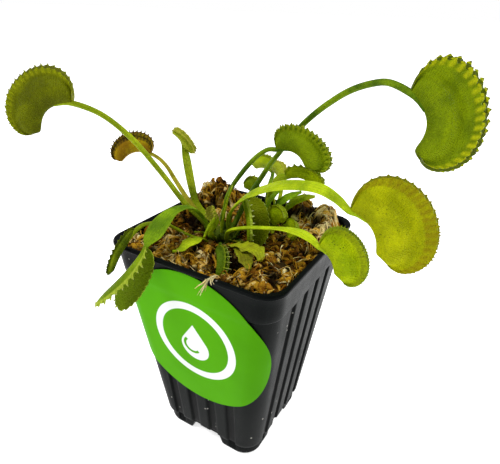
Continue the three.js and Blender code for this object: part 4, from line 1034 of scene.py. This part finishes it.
def strip(form, points, side, fold=0.1, ripple=0.0, dark=0.0, around=18):
    """A stalk or blade swept along its route. Its section is a thin oval with a rib in the middle,
    rib = exp(-(x / spread)^2), and wings that rise by fold times their width. Narrow stalks have a
    plain oval. Mark three is painted shade over the first dark millimetres, by the crown."""
    points = np.asarray(points, float)
    share = np.linspace(0, 1, (len(points) - 1) * 9 + 1)
    centre = route(points[:, :3], share)
    width, thick = np.maximum(route(points[:, 3:], share, 0).T, 0.4)
    thick = thick * (1 + 0.22 * np.clip(2.2 - width / thick, 0, 1))
    along = unit(np.gradient(centre, axis=0))
    side = unit(side - (along @ side)[:, None] * along)
    face = np.cross(along, side)
    x, y = ring_angles(around)
    flat = np.clip(width / thick - 1, 0, 1.2)[:, None] / 1.2
    edge = lerp(thick[:, None] / 2, np.minimum(0.24, thick[:, None] / 2), flat)
    half = edge + (thick[:, None] / 2 - edge) * bell(x, 0.25)
    run = lengths_along(centre)
    wave = np.sin(run * 1.3)[:, None] * x + np.sin(run * 0.83 + 2)[:, None]
    out = x * width[:, None] / 2 * (1 + ripple * 0.3 * np.sin(run * 2.1 + x[:, None] * 2).T)
    up = y * half + flat * (fold * np.abs(out) + ripple * wave * x * x)
    rings = (centre[:, None] + out[..., None] * side[:, None] + up[..., None] * face[:, None])
    # Painted shade at the foot of the stalk, where it leaves the crown.
    base_shade = smooth(1 - run / max(dark, 1e-3))[:, None]
    form.tube(rings, joined(out, run[:, None]), joined(0.35 * flat * x**6, 0.0, base_shade))


def spikes(form, base, out, wide, flat, length, half_width, curl):
    """Tapered spikes: at height t a ring of half width w (1 - t)^0.8, bent towards flat by
    curl t^2. Mark two is the height."""
    t = np.array([-0.35, 0, 0.3, 0.6, 0.85, 1.0])[:, None]
    taper = np.maximum(1 - np.maximum(t, 0), 0) ** 0.8
    x, y = ring_angles(6)
    length, half_width = (np.broadcast_to(v, len(base))[:, None, None]
                          for v in (length, half_width))
    grow = length * t + 0 * x
    lean = curl * length * t**2 + np.minimum(half_width * 0.5, 0.2) * taper * y
    rings = sum(np.broadcast_to(v, base.shape)[:, None, None] * amount[..., None] for v, amount in
                ((out, grow), (flat, lean), (wide, half_width * taper * x), (base, 1 + 0 * grow)))
    form.tube(rings, marks=joined(1 - 0 * grow, np.clip(t, 0, 1), 0.0))


class TrapPlan:
    """Where a trap lies: directions along its midrib, up to its crest and across, its chord and
    height, and the radius of the rounded corner at the far end of a shut trap's midrib."""

    def __init__(self, trap, hinge):
        tip, crest = np.array(trap["tip"], float), np.array(trap["crest"], float)
        rise = crest - (hinge + tip) / 2
        self.hinge, self.ears, self.sag = hinge, trap["ears"], trap["sag"]
        self.chord, self.along = np.linalg.norm(tip - hinge), unit(tip - hinge)
        rise = rise - (rise @ self.along) * self.along
        self.height, self.up = np.linalg.norm(rise), unit(rise)
        self.across = np.cross(self.along, self.up)
        self.turn = 0.0 if "open" in trap else min(0.17 * self.height, 0.16 * self.chord)

    def spot(self, along, up):
        """The point that far along the chord and up from it."""
        return self.hinge + np.multiply.outer(along, self.along) + np.multiply.outer(up, self.up)

    def midrib(self, share):
        """Point on the midrib: along the chord, bowed by 4 sag s (1 - s), and turned up at the
        far end by a quarter circle so that the corner is round."""
        past = np.clip(1 - (1 - share) * self.chord / max(self.turn, 1e-6), 0, 1)
        rise = self.chord * self.sag * 4 * share * (1 - share)
        return self.spot(self.chord * share, rise + self.turn * (1 - np.sqrt(1 - past**2)))

    def margin(self, share):
        """Point on the oval outline, an arc from the hinge round both ears and the crest to the
        tip: cosine along the midrib, sine up."""
        near, far = self.ears
        semi, middle = self.chord * (1 + near + far) / 2, self.chord * (1 + far - near) / 2
        start = math.sqrt(max(1 - (middle / semi) ** 2, 0))
        end = math.sqrt(max(1 - ((self.chord - middle) / semi) ** 2, 0))
        angle = lerp(math.pi + math.asin(start), -math.asin(end), share)
        sink = lerp(start, end, share)
        tall = self.height / (1 + sink) * (sink + np.sin(angle))
        tall = tall + self.turn * np.clip(1 - (1 - share) / 0.14, 0, 1) ** 2
        return self.spot(middle + semi * np.cos(angle), tall)


def shut_lobe(trap, length, full, wander):
    """Faces of a shut lobe: from the midrib over the swollen lobe and the ridge, where the lobes
    meet, to the flared lip, and back inside the lip. The swell is half the trap's thickness."""
    ridge, lip = trap.get("ridge", LOBE["ridge"]), LOBE["lip"] + trap["teeth"][-1]
    v = np.sin(np.linspace(0, 1, 34) * math.pi / 2) ** 0.9
    back = np.linspace(1, ridge + 0.01, 6)
    bulge = np.maximum(trap["bulge"] * full**0.7, LOBE["rib"])
    knots = (*(np.array([0, 0.22, 0.5, 0.74, LOBE["ridge"]]) * ridge / LOBE["ridge"]), 1)
    swell = profile(v, knots, (0, 0.8, 1, 0.62, 0.02 + 0.6 * (LOBE["ridge"] - ridge), 0))
    rest = profile(v, knots, (LOBE["rib"], 0.1, 0, 0, LOBE["ridge_half"], lip))
    inner = lerp(0.12, lip - LOBE["skin"], ((back - ridge) / (1 - ridge)) ** 1.5)
    band = max(ridge, trap.get("band", 0.8)) if ridge < 0.7 else trap.get("band", ridge)
    outside = v + 0 * length, bulge * swell + rest + 0.7 * wander * smooth(v * 2)
    return v, back, outside, (back + 0 * length, inner + 0 * length), (back - ridge) * 8, band


def gaping_lobe(trap, length, wander):
    """Faces of a gaping lobe, which leaves the midrib at 1.125 times the gape and curls in by
    the gape along its length. Out and across are the running sums of cosine and sine of that
    angle."""
    gape, start = math.radians(trap["open"]), 1.125
    v = np.linspace(0, 1, 26)
    back = v[::-1][:-2]
    angle = gape * (start - v)
    out = (math.sin(start * gape) - np.sin(angle)) / gape + 0 * length
    across = length * (np.cos(angle) - math.cos(start * gape)) / gape
    across = LOBE["rib"] + across + 0.35 * wander * v
    out_back, across_back, turned = (a[..., ::-1][..., :-2] for a in (out, across, angle))
    inside = (out_back + LOBE["skin"] * np.sin(turned) / length,
              across_back - LOBE["skin"] * np.cos(turned))
    return v, back, (out, across), inside, (back - 0.02) * 8, 0.84


def trap_form(form, trap, plan, rng):
    """Both lobes as one closed skin, with teeth on each margin and trigger hairs inside a gaping
    trap. Behind the teeth stand ribs, beat = cos(phase), one to each tooth. Mark one is the lip's
    tint, and below zero it is painted shade in the grooves between the ribs."""
    count, tooth, base_width, lean, notch, ribs, lap, _ = trap["teeth"]
    fine = plan.margin(np.linspace(0, 1, 400))
    run = lengths_along(fine)
    stations = int(np.clip(count * 8, 70, 200))
    share = np.linspace(0, 1, stations + 2)[1:-1]
    root = plan.midrib(smooth(share))
    reach = plan.margin(share) - root
    length = np.linalg.norm(reach, axis=1, keepdims=True)
    reach = unit(reach)
    full = np.minimum(length / plan.height, 1)
    thin = np.minimum(1, np.sqrt(length / 2))
    place = np.interp(share, np.linspace(0, 1, 400), run)
    phase = (2 * math.pi * count * place / run[-1])[:, None]
    wander = noise(root + reach * length, 7, 3)[:, None] - 0.5
    gaping, ridge = "open" in trap, trap.get("ridge", LOBE["ridge"])
    v, back, outside, inside, depth, band = (
        gaping_lobe(trap, length, wander) if gaping else shut_lobe(trap, length, full, wander))
    halves = []
    for side in (1, -1):
        beat = np.cos(phase + (0 if side > 0 else math.pi)) * full
        # The tint sinks below zero between the ribs, where it paints shade into the grooves.
        tint = lerp(1, beat * 0.8 + 0.2, min(ribs * 4, 1))
        shorter = abs(lap) * (side * np.sign(lap) + 0.5)
        faces = []
        for w, (out, across), rib in ((v, outside, 1.0), (back, inside, 0.7)):
            zone = smooth((w - band) / (1 - band))
            faces.append((out * (1 - shorter * w) + notch * beat * zone**2 / length,
                          across + (ribs + 0.3 * notch) * beat * smooth(zone * 2) * rib,
                          smooth((w - band) * 12) * tint))
        (out, across, mark), (inner_out, inner, inner_mark) = faces
        if not gaping:
            # Painted shade: the swell is darker by the midrib, where it turns from the light. It
            # is lighter along the ridge.
            mark = (mark + 0.3 * bell(v - ridge, 0.05) * (ridge > 0.7)
                    - 0.22 * smooth(1 - v / ridge / 0.7))
        rim_out, rim = out[:, -1:] + 0.16 / length, (across[:, -1:] + inner[:, :1]) / 2
        halves.append([np.concatenate([out, rim_out, inner_out], axis=1),
                       np.concatenate([across, rim, inner], axis=1) * side * thin,
                       np.concatenate([mark, tint + 0 * beat, inner_mark * 0.3], axis=1)])
        # One tooth stands on each crest of the beat.
        seat = (np.arange(count) + (0.5 if side < 0 else 1.0)) / (count + 0.5)
        at = np.interp(seat * run[-1], place, np.arange(stations))
        k = np.clip(at.round().astype(int), 1, stations - 2)
        k = k[full[k, 0] > 0.3]
        bent = plan.across * side
        spikes(form, root[k] + reach[k] * length[k] * rim_out[k] + bent * rim[k] * thin[k],
               unit(reach[k] + lean * bent),
               unit(np.gradient(fine, axis=0)[np.searchsorted(run, place[k]).clip(0, 399)]), bent,
               tooth * (0.7 + 0.6 * rng.random(len(k))) * full[k, 0] ** 0.5, base_width / 2,
               -0.25 if lean > 0 else -0.35)
        if gaping:
            row = (stations * np.array(HAIR["places"])).astype(int)
            middle = slice(len(back) // 2, len(back) // 2 + 1)
            foot = (root[row] + reach[row] * length[row] * inner_out[row, middle]
                    + bent * inner[row, middle])
            spikes(form, foot, unit(reach[row] * 0.5 - bent), reach[row], bent, HAIR["length"],
                   HAIR["half_width"], 0.1)
    zero = np.zeros((stations, 1))
    seam = [zero + (0.03 if gaping else ridge), zero, zero]
    keel = [-LOBE["rib"] * 0.5 / np.maximum(length, 1), zero, zero]
    right, left = np.array(halves)
    out, across, lip = np.concatenate([right, seam, left[..., ::-1], keel], axis=-1)
    rings = (root[:, None] + reach[:, None] * (length * out)[..., None]
             + plan.across * across[..., None])
    heart = np.concatenate([0 * v, [0.3], smooth(depth)])
    level = np.concatenate([v, [1.0], back])
    heart, level = (np.concatenate([a, [middle], a[::-1], [0.0]])
                    for a, middle in ((heart, 0.8), (level, 0.0)))
    form.tube(rings, joined(place[:, None], level * length), joined(lip, 0.0, heart),
              (plan.hinge, plan.midrib(1.0)))


def leaf_form(name, leaf):
    """A whole leaf: a sheath on the crown, the stalk's or blade's strip, and the trap."""
    rng = np.random.default_rng(sum(map(ord, name)))
    form = Form()
    azimuth, elevation = np.radians(leaf["root"])
    out = np.array([math.cos(azimuth) * math.cos(elevation),
                    math.sin(azimuth) * math.cos(elevation), math.sin(elevation)])
    crown = np.array(CROWNS[leaf.get("crown", "crown_main")], float)
    base = crown + out * (CROWN_RADIUS + LEAF_GAP)
    width, thick = leaf["stalk"][0][3:]
    points = [(*base, width * 0.9, thick), *leaf["stalk"]]
    growth = np.array(points[-1][:3]) - base
    side = unit(np.cross((0, 0, 1), growth))
    growth = unit(growth)
    roll = math.radians(leaf.get("roll", 0))
    side = side * math.cos(roll) + np.cross(growth, side) * math.sin(roll)
    points.insert(0, (*(crown + out * CROWN_RADIUS * 0.45), width * 2.1, thick * 1.6))
    ripple = 0.35 if "prong" in leaf else 0.1
    if "trap" in leaf:
        plan = TrapPlan(leaf["trap"], np.array(points[-1][:3], float))
        width, thick = points[-1][3:]
        points += [(*plan.midrib(share), width * keep, thick * keep)
                   for share, keep in ((0.12, 0.75), (0.3, 0.5))]
        form.skin, ripple = 1, 0.0
        trap_form(form, leaf["trap"], plan, rng)
        form.skin = 0
    strip(form, points, side, ripple=ripple, dark=leaf.get("shade", 13.0))
    if "prong" in leaf:
        strip(form, leaf["prong"], side, ripple=0.3)
    return form


def crown_form(name):
    """The heart of the rosette: an oval knob with five lobes, r (1 + 0.07 cos 5a), the pointed
    scales that sheathe it in two whorls, and the young shoots of SHOOTS. The knob and the feet of
    the scales carry painted shade."""
    middle = np.array(CROWNS[name], float)
    knob = np.multiply(KNOB, (CROWN_RADIUS, 1))
    radius, level = route(knob, np.linspace(0, 1, 48)).T[..., None]
    turn = np.arange(60) * 2 * math.pi / 60
    radius = radius * (1 + 0.07 * np.cos(5 * turn + level * 0.3) * smooth((level + 4) / 3))
    form = Form()
    # Painted shade: mark three darkens the knob with the crown skin's near-black inner colour.
    form.tube(middle + joined(radius * np.cos(turn), radius * np.sin(turn), level),
              marks=(0.0, 0, 0.6))
    rng = np.random.default_rng(len(name))
    for k in range(22):
        low, angle = k % 2, k * 2.4
        out = np.array([math.cos(angle), math.sin(angle), 0])
        grow = rng.uniform(0.8, 1.25)
        scale = [(*(middle + out * r + (0, 0, h)), width, thick) for r, h, width, thick in (
            (3.0, 1.5 - low, 3.4, 1.2), (5.4, 3.0 - 1.5 * low, 2.8, 1.0),
            (6.4 * grow, 4.8 * grow - low, 1.8, 0.8),
            (7.0 * grow, 6.6 * grow - 2.5 * low, 0.4, 0.5))]
        form.skin = k % 3 // 2
        # The scales carry painted shade over their first 9 mm.
        strip(form, scale, np.array([-out[1], out[0], 0]), dark=9, around=10)
    form.skin = 1
    for shoot in SHOOTS[name]:
        strip(form, shoot, np.array([0.87, 0.5, 0]), around=10)
    return form


# ---------------------------------------------------------------- settings


def length_setting(label, about, millimetres):
    """A length that the user may change, kept in metres."""
    return FloatProperty(name=label, description=about, default=millimetres * MM, min=0,
                         unit="LENGTH")


def colour_setting(label, about, colour):
    """A colour that the user may change."""
    return FloatVectorProperty(name=label, description=about, default=colour, size=3,
                               subtype="COLOR", min=0, max=1)


def share_setting(label, about, share):
    """A share from 0 to 1 that the user may change."""
    return FloatProperty(name=label, description=about, default=share, min=0, max=1,
                         subtype="FACTOR")


def strength_setting(label, about, strength):
    """A strength of light that the user may change."""
    return FloatProperty(name=label, description=about, default=strength, min=0)


class PotSettings(bpy.types.PropertyGroup):
    """Finish of the pot."""
    colour: colour_setting("Plastic", "Colour of the moulded plastic", (0.0015, 0.0026, 0.0024))
    wear: share_setting("Wear", "How much the plastic is rubbed and scuffed", 0.35)


class LabelSettings(bpy.types.PropertyGroup):
    """Print on the label."""
    colour: colour_setting("Ground", "Colour of the printed ground", (0.088, 0.385, 0.0005))
    motif: colour_setting("Motif", "Colour of the ring and the drop", (0.86, 0.88, 0.87))
    ring: length_setting("Ring", "Radius of the ring round the drop", 17.5)


class MossSettings(bpy.types.PropertyGroup):
    """Litter and colours of the moss."""
    flakes: IntProperty(name="Flakes", description="How many curled flakes lie on the bed",
                        default=1350, min=1, max=1900)
    threads: IntProperty(name="Threads", description="How many fine threads lie on the bed",
                         default=1100, min=1, max=2900)
    # Hollows: the colour of the painted shade that the moss turns to where it lies deep, and also
    # the darkest end of the strands' tones.
    dark: colour_setting("Hollows", "Colour of the deepest moss", (0.006, 0.003, 0.001))
    brown: colour_setting("Brown", "Colour of the darker strands", (0.25, 0.10, 0.005))
    gold: colour_setting("Gold", "Colour of the lighter strands", (0.66, 0.37, 0.022))
    straw: colour_setting("Straw", "Colour of the palest strands", (0.94, 0.81, 0.40))


class LeafSettings(bpy.types.PropertyGroup):
    """Colours of the main skins."""
    stem_bright: colour_setting("Bright stalks", "The broad stalks", TONES["stem_bright"][0])
    stem_green: colour_setting("Green stalks", "The darker stalks", TONES["stem_green"][0])
    trap_olive: colour_setting("Largest trap", "The trap at the top", TONES["trap_olive"][0])
    trap_yellow: colour_setting("Yellow trap", "The trap at the right", TONES["trap_yellow"][0])
    trap_moss: colour_setting("Far trap", "The trap at the far left", TONES["trap_moss"][0])
    speck: share_setting("Specks", "Share of the dark specks that are kept", 1.0)


class StageSettings(bpy.types.PropertyGroup):
    """Floor and light."""
    floor: colour_setting("Floor", "Colour of the studio floor", (0.9, 0.9, 0.9))
    key: strength_setting("Key light", "Strength of the main soft light", 2.0)
    glow: strength_setting("Floor glow", "Light given off by the floor", 0.7)
    sky: strength_setting("Sky light", "Strength of the light from all round", 0.4)


GROUPS = {"flytrap_pot": PotSettings, "flytrap_label": LabelSettings,
          "flytrap_moss": MossSettings, "flytrap_leaves": LeafSettings,
          "flytrap_stage": StageSettings}


# ---------------------------------------------------------------- operators


def slot_of(node):
    """The record's material slot of a node."""
    return next(p["material_slot"] for p in frame["record"]["subparts"] if p["node"] == node)


def skin_of(settings, tone):
    """The material of a tone, made when it is first asked for."""
    if tone not in bpy.data.materials:
        light, shade, lip, heart, tip, specks = TONES[tone]
        light = tuple(getattr(settings, tone, light))
        leaf_skin(tone, light, shade, lip, heart, tip, specks * settings.speck)
    return bpy.data.materials[tone]


def grow(context, wanted):
    """Makes each leaf that wanted accepts."""
    settings = context.scene.flytrap_leaves
    for name, leaf in LEAVES.items():
        if wanted(leaf):
            finishes = [skin_of(settings, tone) for tone in leaf["skins"]]
            leaf_form(name, leaf).piece(name + "_grown", finishes, name, slot_of(name))
    return {"FINISHED"}


def added(name, data):
    """A new object of that data, linked to the scene."""
    item = bpy.data.objects.new(name, data)
    bpy.context.scene.collection.objects.link(item)
    return item


def lay_floor(paint):
    """One large square just below the feet."""
    corners = [(x * FLOOR["reach"], y * FLOOR["reach"], FLOOR["level"])
               for x, y in ((-1, -1), (1, -1), (1, 1), (-1, 1))]
    mesh = bpy.data.meshes.new("floor")
    mesh.from_pydata(corners, [], [(0, 1, 2, 3)])
    floor = added("floor", mesh)
    mesh.materials.append(paint)


def hang_lamps(strength):
    """The lamps of LAMPS, each turned towards the plant."""
    for name, kind, spot, size, power in LAMPS:
        light = bpy.data.lights.new(name, kind)
        light.energy = strength * power
        setattr(light, "angle" if kind == "SUN" else "size", size)
        lamp = added(name, light)
        lamp.location = spot
        away = Vector(spot) - Vector(LAMPS_AIM)
        lamp.rotation_euler = away.to_track_quat("Z", "Y").to_euler()


def light_sky(scene, strength):
    """A backdrop that is white when it is seen straight on and dimmer as a light."""
    world = scene.world or bpy.data.worlds.new("studio")
    scene.world = world
    world.use_nodes = True
    tree = world.node_tree
    backdrop = tree.nodes["Background"]
    backdrop.inputs["Color"].default_value = (1, 1, 1, 1)
    path = tree.nodes.new("ShaderNodeLightPath")
    level = tree.nodes.new("ShaderNodeMapRange")
    level.inputs["To Min"].default_value = strength
    level.inputs["To Max"].default_value = 1.0
    tree.links.new(path.outputs["Is Camera Ray"], level.inputs["Value"])
    tree.links.new(level.outputs[0], backdrop.inputs["Strength"])


def set_camera(scene):
    """Places the camera: roll, then tilt, then turn, then its spot."""
    turn, tilt, roll = (math.radians(CAMERA[key]) for key in ("turn", "tilt", "roll"))
    lens = bpy.data.cameras.new("camera")
    lens.sensor_width, lens.lens, lens.clip_start = CAMERA["sensor"], CAMERA["lens"], 0.01
    camera = added("camera", lens)
    camera.matrix_world = (
        Matrix.Translation(CAMERA["spot"]) @ Matrix.Rotation(turn, 4, "Z")
        @ Matrix.Rotation(math.pi / 2 - tilt, 4, "X") @ Matrix.Rotation(roll, 4, "Z"))
    scene.camera = camera


class FLYTRAP_OT_pot(bpy.types.Operator):
    """Moulds the fluted nursery pot with its feet and drain holes"""
    bl_idname = "flytrap.pot"
    bl_label = "Pot"

    def execute(self, context):
        settings = context.scene.flytrap_pot
        finish = pot_plastic(tuple(settings.colour), settings.wear)
        drained(pot_form().piece("pot_moulded", [finish], "pot", slot_of("pot"), 38))
        return {"FINISHED"}


class FLYTRAP_OT_label(bpy.types.Operator):
    """Lays the round label on the front of the pot"""
    bl_idname = "flytrap.label"
    bl_label = "Label"

    def execute(self, context):
        settings = context.scene.flytrap_label
        finish = label_film(tuple(settings.colour), tuple(settings.motif), settings.ring / MM)
        label_form().piece("label_printed", [finish], "label", slot_of("label"), 50)
        return {"FINISHED"}


class FLYTRAP_OT_moss(bpy.types.Operator):
    """Fills the pot with the moss bed and strews its flakes and threads"""
    bl_idname = "flytrap.moss"
    bl_label = "Moss"

    def execute(self, context):
        settings = context.scene.flytrap_moss
        colours = [tuple(getattr(settings, c)) for c in ("dark", "brown", "gold", "straw")]
        finish = moss_finish("moss", *colours)
        slot = slot_of("moss_bed")
        moss_bed_form().piece("moss_packed", [finish], "moss_bed", slot)
        flakes, threads = moss_litter(settings.flakes, settings.threads)
        flakes.piece("moss_flakes", [finish], None, slot)
        threads.piece("moss_threads", [finish], None, slot)
        return {"FINISHED"}


class FLYTRAP_OT_crowns(bpy.types.Operator):
    """Forms the two crowns that the leaves grow from"""
    bl_idname = "flytrap.crowns"
    bl_label = "Crowns"

    def execute(self, context):
        settings = context.scene.flytrap_leaves
        for name in CROWNS:
            finishes = [skin_of(settings, tone) for tone in ("crown_skin", "stem_lime")]
            crown_form(name).piece(name + "_heart", finishes, name, slot_of(name))
        return {"FINISHED"}


class FLYTRAP_OT_shut_leaves(bpy.types.Operator):
    """Grows the leaves whose traps are shut"""
    bl_idname = "flytrap.shut_leaves"
    bl_label = "Leaves with shut traps"

    def execute(self, context):
        return grow(context, lambda leaf: "bulge" in leaf.get("trap", {}))


class FLYTRAP_OT_open_leaves(bpy.types.Operator):
    """Grows the leaves whose traps gape"""
    bl_idname = "flytrap.open_leaves"
    bl_label = "Leaves with gaping traps"

    def execute(self, context):
        return grow(context, lambda leaf: "open" in leaf.get("trap", {}))


class FLYTRAP_OT_blades(bpy.types.Operator):
    """Grows the leaves that are only a blade"""
    bl_idname = "flytrap.blades"
    bl_label = "Blades"

    def execute(self, context):
        return grow(context, lambda leaf: "trap" not in leaf)


class FLYTRAP_OT_stage(bpy.types.Operator):
    """Sets the pale floor, the soft lights and the camera"""
    bl_idname = "flytrap.stage"
    bl_label = "Floor, lights and camera"

    def execute(self, context):
        settings = context.scene.flytrap_stage
        lay_floor(floor_paint(tuple(settings.floor), settings.glow))
        hang_lamps(settings.key)
        light_sky(context.scene, settings.sky)
        context.scene.view_settings.view_transform = "Standard"
        set_camera(context.scene)
        return {"FINISHED"}


OPERATORS = (FLYTRAP_OT_pot, FLYTRAP_OT_label, FLYTRAP_OT_moss, FLYTRAP_OT_crowns,
             FLYTRAP_OT_shut_leaves, FLYTRAP_OT_open_leaves, FLYTRAP_OT_blades, FLYTRAP_OT_stage)


class FLYTRAP_PT_panel(bpy.types.Panel):
    """Lists the pieces and their settings"""
    bl_idname = "FLYTRAP_PT_panel"
    bl_label = "Potted Venus flytrap"
    bl_space_type = "VIEW_3D"
    bl_region_type = "UI"
    bl_category = "Flytrap"

    def draw(self, context):
        for operator in OPERATORS:
            self.layout.operator(operator.bl_idname)
        for group, settings in GROUPS.items():
            box = self.layout.box()
            for setting in settings.__annotations__:
                box.prop(getattr(context.scene, group), setting)


def register():
    """Registers the settings, operators and panel."""
    for group in (*GROUPS.values(), *OPERATORS, FLYTRAP_PT_panel):
        bpy.utils.register_class(group)
    for name, group in GROUPS.items():
        setattr(bpy.types.Scene, name, PointerProperty(type=group))


def unregister():
    """Takes away what register() added."""
    for name in GROUPS:
        delattr(bpy.types.Scene, name)
    for group in (FLYTRAP_PT_panel, *reversed(OPERATORS), *reversed(GROUPS.values())):
        bpy.utils.unregister_class(group)


def main():
    register()
    for operator in OPERATORS:
        getattr(bpy.ops.flytrap, operator.bl_idname.split(".")[1])()


if __name__ == "__main__":
    main()
